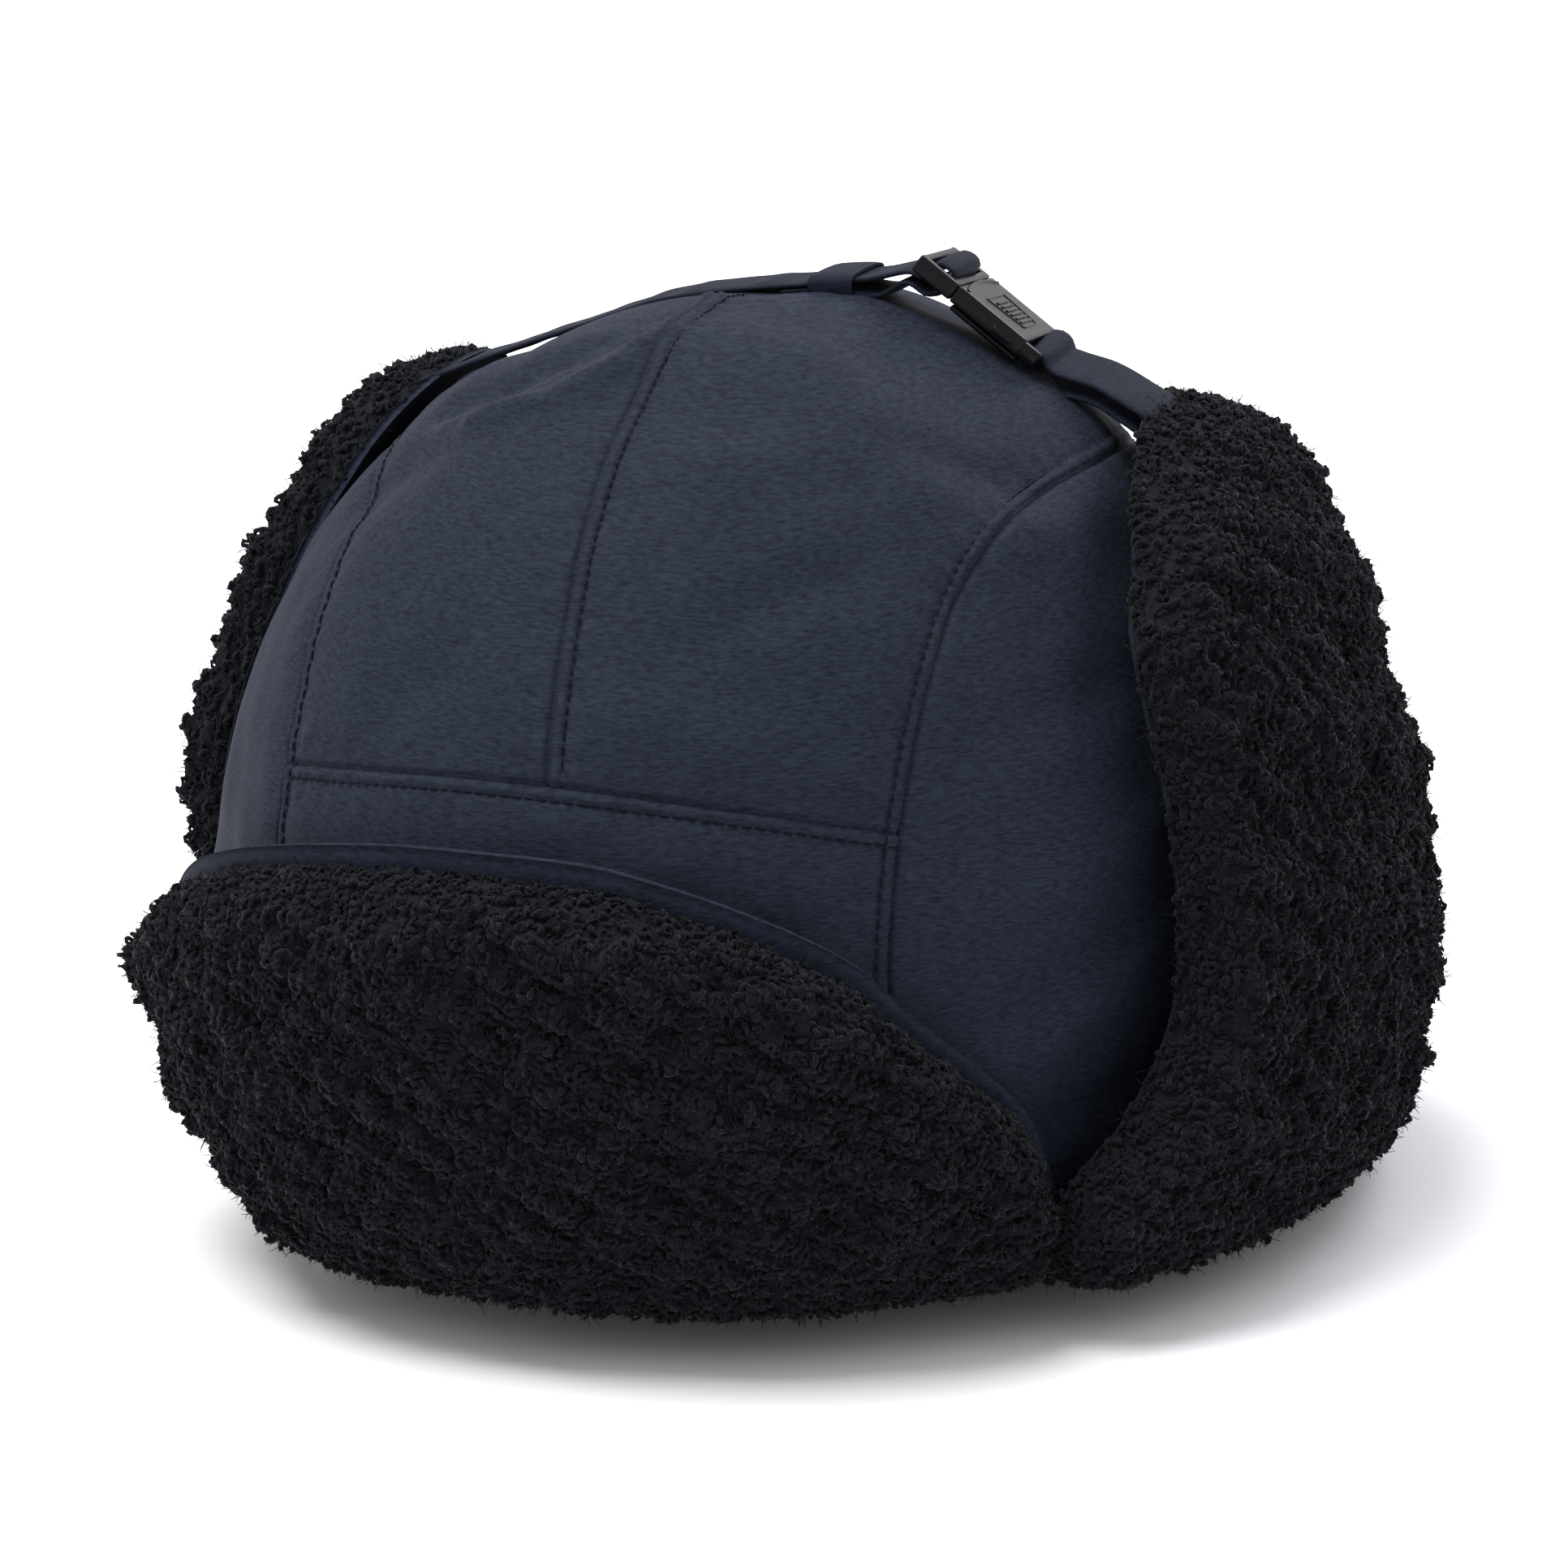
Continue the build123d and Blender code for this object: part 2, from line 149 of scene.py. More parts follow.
# %% Nylon
def cloth(name, low, high, roughness, yarn, relief):
    """A woven cloth: two noises, each drawn out along its yarn, give colour and relief."""
    material, tree, shader = new_material(name)
    shader.inputs["Roughness"].default_value = roughness
    shader.inputs["IOR"].default_value = 1.5
    shader.inputs["Specular IOR Level"].default_value = 0.05
    shader.inputs["Sheen Weight"].default_value = 0.015
    shader.inputs["Sheen Roughness"].default_value = 0.4
    mapping, weft = speckled(tree, shader, low, high, 1 / yarn, (0.3, 0.3, 1.4))
    place = mapping.inputs["Vector"].links[0].from_socket
    turned = add_node(tree, "ShaderNodeMapping", {"Vector": place, "Scale": (1.4, 1.4, 0.3)})
    warp = add_node(
        tree, "ShaderNodeTexNoise", {"Vector": turned.outputs[0], "Scale": 1 / yarn, "Detail": 2.0}
    )
    both = add_node(tree, "ShaderNodeMath", operation="ADD")
    tree.links.new(weft.outputs["Fac"], both.inputs[0])
    tree.links.new(warp.outputs["Fac"], both.inputs[1])
    bumped(tree, shader, both.outputs[0], relief, 0.5)
    return material


NYLON = cloth("nylon_taslan_navy", "#141821", "#272c3a", 0.7, 0.55 * MM, 0.12 * MM)
LINING = cloth("polyester_lining_black", "#12141a", "#191b21", 0.45, 0.25 * MM, 0.04 * MM)
WEBBING = cloth("nylon_strap_black_navy", "#11141d", "#1d212e", 0.65, 0.5 * MM, 0.12 * MM)
LABEL = cloth("woven_label_grey", "#8d9096", "#a2a5aa", 0.7, 0.2 * MM, 0.03 * MM)


# %% [markdown]
# ## Pile
# Acrylic boa: near-black curled fibres that catch a little light at grazing angles, which sheen
# stands for. The fine noise is the fibres inside each curl.

# %% Pile material
def pile_material(name, low, high):
    material, tree, shader = new_material(name)
    shader.inputs["Roughness"].default_value = 0.85
    shader.inputs["Specular IOR Level"].default_value = 0.12
    shader.inputs["Sheen Weight"].default_value = 0.06
    shader.inputs["Sheen Roughness"].default_value = 0.35
    mapping, noise = speckled(tree, shader, low, high, 1 / (0.5 * MM))
    bumped(tree, shader, noise.outputs["Fac"], 0.25 * MM, 0.8)
    return material


PILE = pile_material("boa_pile_black", "#07080b", "#13151b")

# the thread is spun polyester, dull and a little darker than the cloth, with a fine twist
THREAD, thread_tree, thread_shader = new_material("polyester_thread_navy")
thread_shader.inputs["Roughness"].default_value = 0.7
thread_shader.inputs["Specular IOR Level"].default_value = 0.08
twist = speckled(thread_tree, thread_shader, "#07090d", "#0d1017", 1 / (0.2 * MM))[1]
bumped(thread_tree, thread_shader, twist.outputs["Fac"], 0.03 * MM, 0.4)

# the buckle is moulded acetal: even black with a soft satin shine and a very fine moulded grain
BUCKLE, buckle_tree, buckle_shader = new_material("acetal_black_satin")
buckle_shader.inputs["Roughness"].default_value = 0.3
buckle_shader.inputs["IOR"].default_value = 1.48
buckle_shader.inputs["Specular IOR Level"].default_value = 0.16
grain = speckled(buckle_tree, buckle_shader, "#08090c", "#0c0d11", 1 / (0.3 * MM))[1]
bumped(buckle_tree, buckle_shader, grain.outputs["Fac"], 0.01 * MM, 0.3)
print("materials", len(bpy.data.materials))


# %% [markdown]
# ## Meshes from grids
# Every cloth piece here is a grid of points with a second grid behind it, closed round the rim. One
# function makes such a shell and turns its faces outwards.

# %% Mesh helpers
def finish_mesh(name, points, quads, material):
    """A smooth mesh from points in millimetres and an array of quads."""
    mesh = bpy.data.meshes.new(name)
    mesh.vertices.add(len(points))
    mesh.vertices.foreach_set("co", (np.asarray(points) * MM).ravel())
    mesh.loops.add(quads.size)
    mesh.loops.foreach_set("vertex_index", quads.ravel())
    mesh.polygons.add(len(quads))
    mesh.polygons.foreach_set("loop_start", np.arange(0, quads.size, 4))
    mesh.polygons.foreach_set("use_smooth", np.ones(len(quads), bool))
    mesh.update(calc_edges=True)
    mesh.validate()
    mesh.materials.append(material)
    piece = bpy.data.objects.new(name, mesh)
    bpy.context.scene.collection.objects.link(piece)
    return piece


def grid_quads(rows, columns, start=0, closed=False):
    """Quads of a grid of rows x columns points; closed joins the last column to the first."""
    index = start + np.arange(rows * columns).reshape(rows, columns)
    if closed:
        index = np.hstack([index, index[:, :1]])
    a, b, c, d = index[:-1, :-1], index[1:, :-1], index[1:, 1:], index[:-1, 1:]
    return np.stack([a, b, c, d], -1).reshape(-1, 4)


def outward(points, quads):
    """The same quads, turned over if they enclose a negative volume."""
    p = points[quads]
    volume = np.einsum("ij,ij->i", p[:, 0], np.cross(p[:, 1], p[:, 2]))
    volume += np.einsum("ij,ij->i", p[:, 0], np.cross(p[:, 2], p[:, 3]))
    return quads[:, ::-1] if volume.sum() < 0 else quads


def shell(name, front, back, material):
    """A closed sheet between two grids of points of the same shape."""
    rows, columns = front.shape[:2]
    points = np.vstack([front.reshape(-1, 3), back.reshape(-1, 3)])
    index = np.arange(rows * columns).reshape(rows, columns)
    rim = np.concatenate([index[0], index[1:, -1], index[-1, -2::-1], index[-2:0:-1, 0]])
    after = np.roll(rim, -1)
    rim_quads = np.stack([rim, after, after + rows * columns, rim + rows * columns], -1)
    front_quads = grid_quads(rows, columns)
    back_quads = front_quads[:, ::-1] + rows * columns
    quads = np.vstack([front_quads, back_quads, rim_quads[:, ::-1]])
    return finish_mesh(name, points, outward(points, quads), material)


def tubes(centres, radii, sides, across):
    """Tubes along many centre lines at once: centres (count, steps, 3), radii (count, steps)."""
    along = np.gradient(centres, axis=1)
    along /= np.linalg.norm(along, axis=2, keepdims=True) + 1e-9
    first = across[:, None, :] - along * np.sum(along * across[:, None, :], 2, keepdims=True)
    first /= np.linalg.norm(first, axis=2, keepdims=True) + 1e-9
    second = np.cross(along, first)
    turn = np.linspace(0, 2 * np.pi, sides, endpoint=False)
    ring = first[:, :, None, :] * np.cos(turn)[:, None]
    ring = ring + second[:, :, None, :] * np.sin(turn)[:, None]
    points = centres[:, :, None, :] + ring * radii[:, :, None, None]
    count, steps = centres.shape[:2]
    one = grid_quads(steps, sides, closed=True)
    quads = one[None] + (np.arange(count) * steps * sides)[:, None, None]
    return points.reshape(-1, 3), quads.reshape(-1, 4)


def waves(points, length, seed):
    """Smooth noise of about unit size with this wavelength, as a sum of waves."""
    source = np.random.default_rng(seed)
    total = np.zeros(points.shape[:-1])
    for _ in range(9):
        direction = source.normal(size=3)
        direction *= 2 * np.pi / (length * source.uniform(0.75, 1.35) * np.linalg.norm(direction))
        total += np.sin(points @ direction + source.uniform(0, 2 * np.pi))
    return total / 2.2


def nearest(points, line):
    """Distance from points to a dense polyline, and the length along it of the nearest place."""
    flat = points.reshape(-1, 3)
    steps = np.linalg.norm(np.diff(line, axis=0), axis=1)
    length = np.concatenate([[0], np.cumsum(steps)])
    distance = np.empty(len(flat))
    place = np.empty(len(flat))
    for start in range(0, len(flat), 4000):
        part = flat[start : start + 4000]
        gap = np.linalg.norm(part[:, None] - line[None], axis=2)
        best = gap.argmin(1)
        distance[start : start + 4000] = gap[np.arange(len(part)), best]
        place[start : start + 4000] = length[best]
    return distance.reshape(points.shape[:-1]), place.reshape(points.shape[:-1])


# %% [markdown]
# ## The crown's surface
# Slices across the hat give its points. The hem is soft and doesn't lie quite flat: it rests on the
# floor at the back, and lifts and tucks in at the sides and front, most of all towards the wearer's
# right.

# %% Crown surface
def slice_point(x, turn):
    """Point of the crown on the slice at x; turn runs from 0 at the front to pi at the back."""
    share = np.sqrt(np.clip(1 - (x / HALF_WIDTH) ** 2, 0, 1))
    y = -HALF_LENGTH * share * np.cos(turn)
    return np.stack([x + 0 * turn, y, WALL + CAP * share * np.sin(turn)], -1)


def arc_x(turn):
    """How far out the seam between a crown panel and a side panel lies."""
    return SEAM_X - 0.8 + 6.5 * np.sin(turn) ** 10


def band_top(x):
    """Height of the seam along the top of the front band; it dips towards both ends."""
    return BAND_TOP + 4.4 - 0.0022 * (x + 5) ** 2


def band_turn(x):
    """Where a slice at x meets the top of the band."""
    share = np.sqrt(1 - (x / HALF_WIDTH) ** 2)
    return np.arcsin((band_top(x) - WALL) / (CAP * share))


def crown_normal(points):
    """Outward unit normals of the crown at points on it."""
    rise = np.maximum(points[..., 2] - WALL, 0)
    slope = np.stack(
        [points[..., 0] / HALF_WIDTH**2, points[..., 1] / HALF_LENGTH**2, rise / CAP**2], -1
    )
    return slope / np.linalg.norm(slope, axis=-1, keepdims=True)


SOFT_HEIGHT = 60           # the lift fades out at this height
TUCK = 0.5                 # how far the hem goes in for each millimetre that it lifts
NEAR_MIDDLE = 40           # closer to the middle than this, points go in by less
LIFT_AT = (-180, -150, -130, -110, -90, -60, -45, -30, -15, 0, 15, 30, 50, 80, 110, 130, 180)
LIFT = (0, 4, 9, 15, 18, 18, 14.5, 10, 9, 9, 8.5, 8, 8.5, 8, 7, 5, 0)


def settle(points):
    """Lifts and tucks in the soft hem."""
    points = np.array(points, float)
    turn = np.degrees(np.arctan2(points[..., 0] / HALF_WIDTH, -points[..., 1] / HALF_LENGTH))
    low = np.clip(1 - points[..., 2] / SOFT_HEIGHT, 0, 1.2) ** 2
    lift = np.interp(turn, LIFT_AT, LIFT) * low
    reach = np.linalg.norm(points[..., :2], axis=-1, keepdims=True)
    points[..., :2] *= 1 - TUCK * lift[..., None] / np.maximum(reach, NEAR_MIDDLE)
    points[..., 2] += lift
    return points


# %% [markdown]
# ## Seams, folds and the dent
# Each seam is lapped: the covering panel's edge is folded under, laid over its neighbour and
# topstitched 2.5 mm in, which leaves a ditch, a raised strip and a row of needle holes. Away from
# the seams the wadding lifts the cloth. Soft folds cross the side panels, and the top has sunk a
# little on the wearer's right.

# %% Relief of the crown
turns = np.linspace(0, np.pi, 700)
front_turn = float(band_turn(2.0))


def centre_seam_x(turn):
    """Where the centre seam lies; it drifts to the wearer's right towards the top."""
    height = np.sin(turn) * np.where(turn < np.pi / 2, 1, 0) + np.where(turn < np.pi / 2, 0, 1)
    rise = np.clip((height - 0.31) / 0.69, 0, 1)
    ahead = 2.0 - 7.5 * rise
    fade = np.clip((turn - np.pi / 2) / 0.8, 0, 1)
    return ahead * (1 - fade)


def side_seam(side):
    """A side seam, from the front hem over the top to the back hem."""
    wall = np.linspace(0, WALL, 80, endpoint=False)
    over = slice_point(side * arc_x(turns), turns)
    front = np.stack([0 * wall + over[0, 0], 0 * wall + over[0, 1], wall], -1)
    back = np.stack([0 * wall + over[-1, 0], 0 * wall + over[-1, 1], wall[::-1]], -1)
    return np.vstack([front, over, back])


centre_turns = turns[turns > front_turn]
CENTRE_SEAM = slice_point(centre_seam_x(centre_turns), centre_turns)
back_wall = np.linspace(WALL, 0, 80)[1:]
CENTRE_SEAM = np.vstack(
    [CENTRE_SEAM, np.stack([0 * back_wall, 0 * back_wall + HALF_LENGTH, back_wall], -1)]
)
ARC_LEFT = side_seam(1)
ARC_RIGHT = side_seam(-1)
BAND_HALF = float(arc_x(0.0))
band_x = np.linspace(-BAND_HALF, BAND_HALF, 400)
BAND_SEAM = slice_point(band_x, band_turn(band_x))

STITCH_IN = 2.5            # topstitching's distance from the seam
STITCH_PITCH = 2.3
FOLDS = (                  # two ends, height and width of each soft fold
    ((65, -77, 70), (86, -31, 82), 1.1, 5.0),
    ((71, -70, 56), (87, -34, 68), -1.0, 4.5),
    ((67, -76, 44), (85, -43, 56), 1.0, 5.0),
    ((59, -74, 98), (82, -18, 103), -0.8, 6.0),
    ((56, -50, 126), (68, -3, 129), 0.8, 6.0),
    ((70, -72, 30), (86, -38, 36), -0.9, 5.0),
    ((44, -39, 142), (61, -26, 133), -0.7, 5.0),
    ((11, -96, 107), (43, -88, 97), 0.7, 6.0),
    ((23, -85, 119), (43, -65, 128), -0.7, 6.0),
    ((6, -67, 141), (29, -52, 144), 0.6, 6.0),
    ((-62, -43, 124), (-39, -52, 139), -1.0, 7.0),
    ((-32, -91, 104), (-23, -91, 110), -0.8, 6.0),
    ((-70, 40, 110), (-48, 60, 120), 0.9, 7.0),
    ((30, 80, 110), (50, 60, 118), 0.8, 7.0),
    ((-20, 98, 90), (25, 98, 84), 0.8, 7.0),
)
FOLD_GAIN = 1.7            # the folds stand out by this many times their listed heights
RIDGE = (                  # it runs up to the top, with a valley and then the dent behind it
    (-33, -48, 144), (-19, -50, 149), (-10, -43, 154), (-6, -30, 159), (-6, -11, 162), (-7, 5, 162),
)
VALLEY = ((-43, -35, 144), (-30, -39, 150), (-20, -33, 155), (-14, -25, 159), (-12, -15, 161))
DENT = (-30.0, 6.0, 155.0)
SHOULDERS = (              # fuller places under the straps, with their height and radius
    ((66.0, 5.0, 138.0), 4.2, 22.0),
    ((-61.0, 8.0, 138.0), 3.6, 15.0),
)
PRESSED_TO = 1.2           # the strap presses the cloth to this far under its own line,
PRESS_REACH = 16.5         # this far in front of its middle and behind it,
PRESS_FADE = 7.5           # fading out over the last of that,
PRESS_FLOOR = 130          # above this height,
PRESS_END = 20.0           # and no further towards the wearer's left than this


def dense(corners, count=60):
    """A polyline through these corners with many points."""
    corners = np.array(corners, float)
    at = np.linspace(0, len(corners) - 1, count)
    return np.stack([np.interp(at, range(len(corners)), corners[:, k]) for k in range(3)], -1)


def crown_relief(points, seams):
    """Height of the sewn cloth over the plain crown. Seams are (polyline, covers, stitched)."""
    height = 0.45 * waves(points, 42.0, 3) + 0.16 * waves(points, 15.0, 4)
    away = np.full(points.shape[:-1], 99.0)
    for line, covers in seams:
        gap, along = nearest(points, line)
        ripple = np.sin(2 * np.pi * along / 6.1 + 1.5 * np.sin(along / 9.0))
        height += 0.13 * ripple * np.exp(-(((gap - 4.0) / 3.5) ** 2))
        height -= 0.85 * np.exp(-((gap / 0.5) ** 2))
        if covers:
            strip = np.clip(gap / 0.9, 0, 1) * np.clip((3.2 - gap) / 0.9, 0, 1)
            height += 0.3 * strip
            hole = 0.5 + 0.5 * np.cos(2 * np.pi * along / STITCH_PITCH)
            height -= (0.35 + 0.45 * hole**3) * np.exp(-(((gap - STITCH_IN) / 0.38) ** 2))
            gap = np.maximum(gap - STITCH_IN, 0)
        away = np.minimum(away, gap)
    height += PUFF * (1 - np.exp(-away / 9.0)) - 0.3
    for start, end, rise, width in FOLDS:
        gap, along = nearest(points, dense((start, end), 30))
        ends = np.linalg.norm(np.subtract(end, start))
        fade = np.sin(np.pi * np.clip((along + 3) / (ends + 6), 0, 1)) ** 0.6
        height += FOLD_GAIN * rise * fade * np.exp(-((gap / width) ** 2))
    height += 2.2 * np.exp(-((nearest(points, dense(RIDGE))[0] / 3.6) ** 2))
    height -= 2.5 * np.exp(-((nearest(points, dense(VALLEY))[0] / 5.0) ** 2))
    flat = np.linalg.norm((points - DENT) * (1, 0.8, 0.7), axis=-1)
    height -= 7.5 * np.exp(-((flat / 19.0) ** 2))
    for place, rise, radius in SHOULDERS:
        height += rise * np.exp(-((np.linalg.norm(points - place, axis=-1) / radius) ** 2))
    # the taut strap presses the padding down to just under itself
    strap_x, strap_z = np.transpose(STRAP_OVER)
    room = np.interp(points[..., 0], strap_x, strap_z) - PRESSED_TO - points[..., 2]
    under = np.clip((PRESS_REACH - np.abs(points[..., 1] - STRAP_Y)) / PRESS_FADE, 0, 1)
    under = under * (points[..., 2] > PRESS_FLOOR) * np.clip((PRESS_END - points[..., 0]) / 4, 0, 1)
    return height - under * np.maximum(height - room, 0)


def sewn(name, base, seams, thickness=1.4):
    """A padded panel of the crown: its grid raised by the relief, with a back behind it."""
    normal = crown_normal(base)
    front = base + normal * crown_relief(base, seams)[..., None]
    back = base - normal * (thickness + 0.5)
    return shell(name, settle(front), settle(back), NYLON)


def graded(start, end, fine, coarse, margin=6.0):
    """Steps from start to end, fine within margin of both ends and coarse between."""
    span = abs(end - start)
    edge = np.arange(0, margin, fine)
    middle = np.linspace(margin, span - margin, max(int((span - 2 * margin) / coarse), 2))
    steps = np.concatenate([edge, middle, span - edge[::-1]])
    return start + np.sign(end - start) * steps


# %% Crown and band panels
panels = []
for side, arc in ((1, ARC_LEFT), (-1, ARC_RIGHT)):
    name = "crown_panel_left" if side > 0 else "crown_panel_right"
    across = graded(0, 1, 0.007, 0.017, 0.09)
    share = np.concatenate([np.linspace(0, 0.02, 14)[:-1], np.linspace(0.02, 1, 300)])[:, None]
    over = front_turn + (np.pi - front_turn) * share + 0 * across
    for _ in range(4):     # the turn at the band and the seams' places depend on each other
        start = centre_seam_x(over)
        x = start + (side * arc_x(over) - start) * across
        over = band_turn(x) + (np.pi - band_turn(x)) * share
    cap = slice_point(x, over)
    down = np.linspace(WALL, 0, 50)[1:, None] + 0 * across
    back = np.stack([0 * down + x[-1], 0 * down + cap[-1, :, 1], down], -1)
    seams = [(CENTRE_SEAM, side > 0), (arc, True), (BAND_SEAM, False)]
    panel = sewn(name + "_cloth", np.vstack([cap, back]), seams)
    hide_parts(name)
    panels.append(panel)

x = graded(-BAND_HALF, BAND_HALF, 0.4, 0.9)[:, None]
low = graded(0, 1, 0.006, 0.014, 0.08)
z = band_top(x) * low
ledge = 1 - (x / HALF_WIDTH) ** 2 - (np.maximum(z - WALL, 0) / CAP) ** 2
y = -HALF_LENGTH * np.sqrt(np.clip(ledge, 0, 1))
band = sewn(
    "front_band_cloth",
    np.stack([x + 0 * z, y, z], -1),
    [(BAND_SEAM, True), (ARC_LEFT, True), (ARC_RIGHT, True)],
)
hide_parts("front_band")
panels.append(band)


# %% Side panels
for side, arc in ((1, ARC_LEFT), (-1, ARC_RIGHT)):
    name = "side_panel_left" if side > 0 else "side_panel_right"
    u = graded(0, 1, 0.0025, 0.0055, 0.04)[:, None] * np.pi
    v = graded(0, 1, 0.004, 0.0085, 0.04)
    arch = slice_point(arc_x(u), u)
    y = arch[..., 1] + 0 * v
    z = v * arch[..., 2]
    x_share = 1 - (y / HALF_LENGTH) ** 2 - (np.maximum(z - WALL, 0) / CAP) ** 2
    base = np.stack([side * HALF_WIDTH * np.sqrt(np.clip(x_share, 0, 1)), y, z], -1)
    panel = sewn(name + "_cloth", base, [(arc, False)])
    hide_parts(name)
    panels.append(panel)

for panel in panels:
    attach(panel, "root")
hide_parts("crown_wadding")
print("panels", [len(panel.data.polygons) for panel in panels])


# %% [markdown]
# ## Topstitching
# Single-needle topstitching, 11 stitches to the inch, in navy thread. Each stitch is a short thread
# that dips into its needle holes.

# %% Stitches
def stitches(name, line, inward):
    """A row of stitches beside a seam; inward gives the side they lie on."""
    steps = np.linalg.norm(np.diff(line, axis=0), axis=1)
    length = np.concatenate([[0], np.cumsum(steps)])
    middles = np.arange(STITCH_PITCH, length[-1] - STITCH_PITCH, STITCH_PITCH)
    share = np.linspace(-0.36, 0.36, 5) * STITCH_PITCH
    at = middles[:, None] + share + STITCH_PITCH / 2
    centre = np.stack([np.interp(at, length, line[:, k]) for k in range(3)], -1)
    ahead = np.stack([np.interp(at + 0.5, length, line[:, k]) for k in range(3)], -1) - centre
    normal = crown_normal(centre)
    aside = np.cross(ahead, normal)
    aside /= np.linalg.norm(aside, axis=-1, keepdims=True)
    aside *= np.sign(np.sum(aside * inward(centre), -1, keepdims=True))
    rise = -0.05 + 0.3 * (1 - (share / share[-1]) ** 2)
    seam = (CENTRE_SEAM, True), (ARC_LEFT, True), (ARC_RIGHT, True), (BAND_SEAM, True)
    ground = crown_relief(centre + aside * (STITCH_IN + 0.9), [s for s in seam if s[0] is line])
    centre = centre + aside * STITCH_IN + normal * (ground[..., None] * 0.8 + rise[:, None] - 0.15)
    radii = np.repeat((0.17 * np.array([0.55, 1, 1, 1, 0.55]))[None], len(centre), 0)
    points, quads = tubes(settle(centre), radii, 5, normal[:, 0])
    return finish_mesh(name, points, quads, THREAD)


rows = [
    stitches("centre_stitches", CENTRE_SEAM, lambda p: np.array([1.0, 0, 0])),
    stitches("band_stitches", BAND_SEAM, lambda p: np.array([0, 0, -1.0])),
    stitches("left_arc_stitches", ARC_LEFT, lambda p: np.array([-1.0, 0, 0])),
    stitches("right_arc_stitches", ARC_RIGHT, lambda p: np.array([1.0, 0, 0])),
]
for row in rows:
    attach(row, "root")
print("stitch rows", len(rows))


# %% [markdown]
# ## Flaps
# Each flap is a nylon facing with curly pile sewn on, turned up against the crown. A flap is laid
# out flat first, as its edge in (degrees round the hat, height), and then bent round the crown with
# its own stand-off. The facing's folded edge shows a little beyond the pile.

# %% Flap helpers
DEGREE = 1.8               # millimetres of hem per degree, near enough to measure along a flap
CURL_AREA = 2.3            # square millimetres of pile to each curl
FUZZ_AREA = 2.6            # and to each loose fibre


def rounded(knots, step):
    """A smooth curve through knots, with points about step apart."""
    knots = np.array(knots, float)
    ends = np.vstack([2 * knots[0] - knots[1], knots, 2 * knots[-1] - knots[-2]])
    s = np.linspace(0, 1, 24, endpoint=False)[:, None]
    parts = []
    for a, b, c, d in zip(ends[:-3], ends[1:-2], ends[2:-1], ends[3:]):
        bend = (2 * a - 5 * b + 4 * c - d) * s**2
        parts.append(0.5 * (2 * b + (c - a) * s + bend + (3 * b - a - 3 * c + d) * s**3))
    curve = np.vstack(parts + [knots[-1:]])
    length = np.concatenate([[0], np.cumsum(np.linalg.norm(np.diff(curve, axis=0), axis=1))])
    at = np.linspace(0, length[-1], int(length[-1] / step) + 2)
    return np.stack([np.interp(at, length, curve[:, k]) for k in range(curve.shape[1])], -1)


def on_flap(turn, height, off):
    """The point at an angle and height that stands this far off the crown."""
    rise = np.clip((height - WALL) / CAP, 0, 0.999)
    share = np.sqrt(1 - rise**2)
    angle = np.radians(turn)
    x = (HALF_WIDTH * share + off) * np.sin(angle)
    y = -(HALF_LENGTH * share + off) * np.cos(angle)
    return np.stack([x, y, height + 0 * x], -1)


def laid_out(knots, inset, step):
    """Grid of a flat flap between its hem and its edge, in (millimetres along, height), with the
    distance of every point from the edge."""
    edge = rounded([(turn * DEGREE, height) for turn, height in knots], step)
    along = np.gradient(edge, axis=0)
    along /= np.linalg.norm(along, axis=1, keepdims=True)
    inward = np.stack([along[:, 1], -along[:, 0]], -1)
    if np.sum(inward[len(edge) // 2] * (0, 1)) > 0:
        inward = -inward
    edge = edge + inward * inset
    edge[:, 1] = np.maximum(edge[:, 1], 0)
    span = edge[-1, 0] - edge[0, 0]
    even = np.linspace(0, 1, len(edge))
    hem_at = 0.5 * (even + np.maximum.accumulate(np.clip((edge[:, 0] - edge[0, 0]) / span, 0, 1)))
    hem = np.stack([edge[0, 0] + span * hem_at, 0 * even], -1)
    rows = int(edge[:, 1].max() / step) + 2
    share = np.linspace(0, 1, rows)[None, :, None]
    flat = hem[:, None] + (edge - hem)[:, None] * share
    gap = np.empty(flat.shape[:2])
    for start in range(0, len(edge), 20):
        part = flat[start : start + 20]
        gap[start : start + 20] = np.linalg.norm(part[:, :, None] - edge[None, None], axis=3).min(2)
    return flat, gap


def bull(gap, radius):
    """Height of a rounded edge, from 0 at the edge to 1 once radius in from it."""
    return np.sqrt(np.clip(1 - (1 - np.clip(gap / radius, 0, 1)) ** 2, 0, 1))


def surface_normals(grid):
    across = np.gradient(grid, axis=0)
    up = np.gradient(grid, axis=1)
    normal = np.cross(across, up)
    normal /= np.linalg.norm(normal, axis=-1, keepdims=True) + 1e-9
    middle = grid[..., :2] / (np.linalg.norm(grid[..., :2], axis=-1, keepdims=True) + 1e-9)
    flip = np.sign(np.sum(normal[..., :2] * middle).sum())
    return normal * (flip if flip else 1)


# %% [markdown]
# ## Curls of the pile
# The pile is crimped acrylic fibre that has gathered into curls two or three millimetres across.
# Each curl is a short coil of a fibre bundle, laid at random on a lumpy ground, and loose fibres
# stand out of it as fuzz.

# %% Curls and fuzz
def scattered(grid, area_each):
    """Random places spread evenly over a grid of points, with their normals."""
    normal = surface_normals(grid)
    a, b, c = grid[:-1, :-1], grid[1:, :-1], grid[:-1, 1:]
    area = np.linalg.norm(np.cross(b - a, c - a), axis=-1).ravel()
    total = np.cumsum(area)
    count = int(total[-1] / area_each)
    pick = np.searchsorted(total, (np.arange(count) + rng.random(count)) * area_each)
    pick = np.minimum(pick, len(area) - 1)
    row, column = np.unravel_index(pick, a.shape[:2])
    u, v = rng.random((2, count, 1))
    place = a[row, column] + (b - a)[row, column] * u + (c - a)[row, column] * v
    return place, normal[row, column]


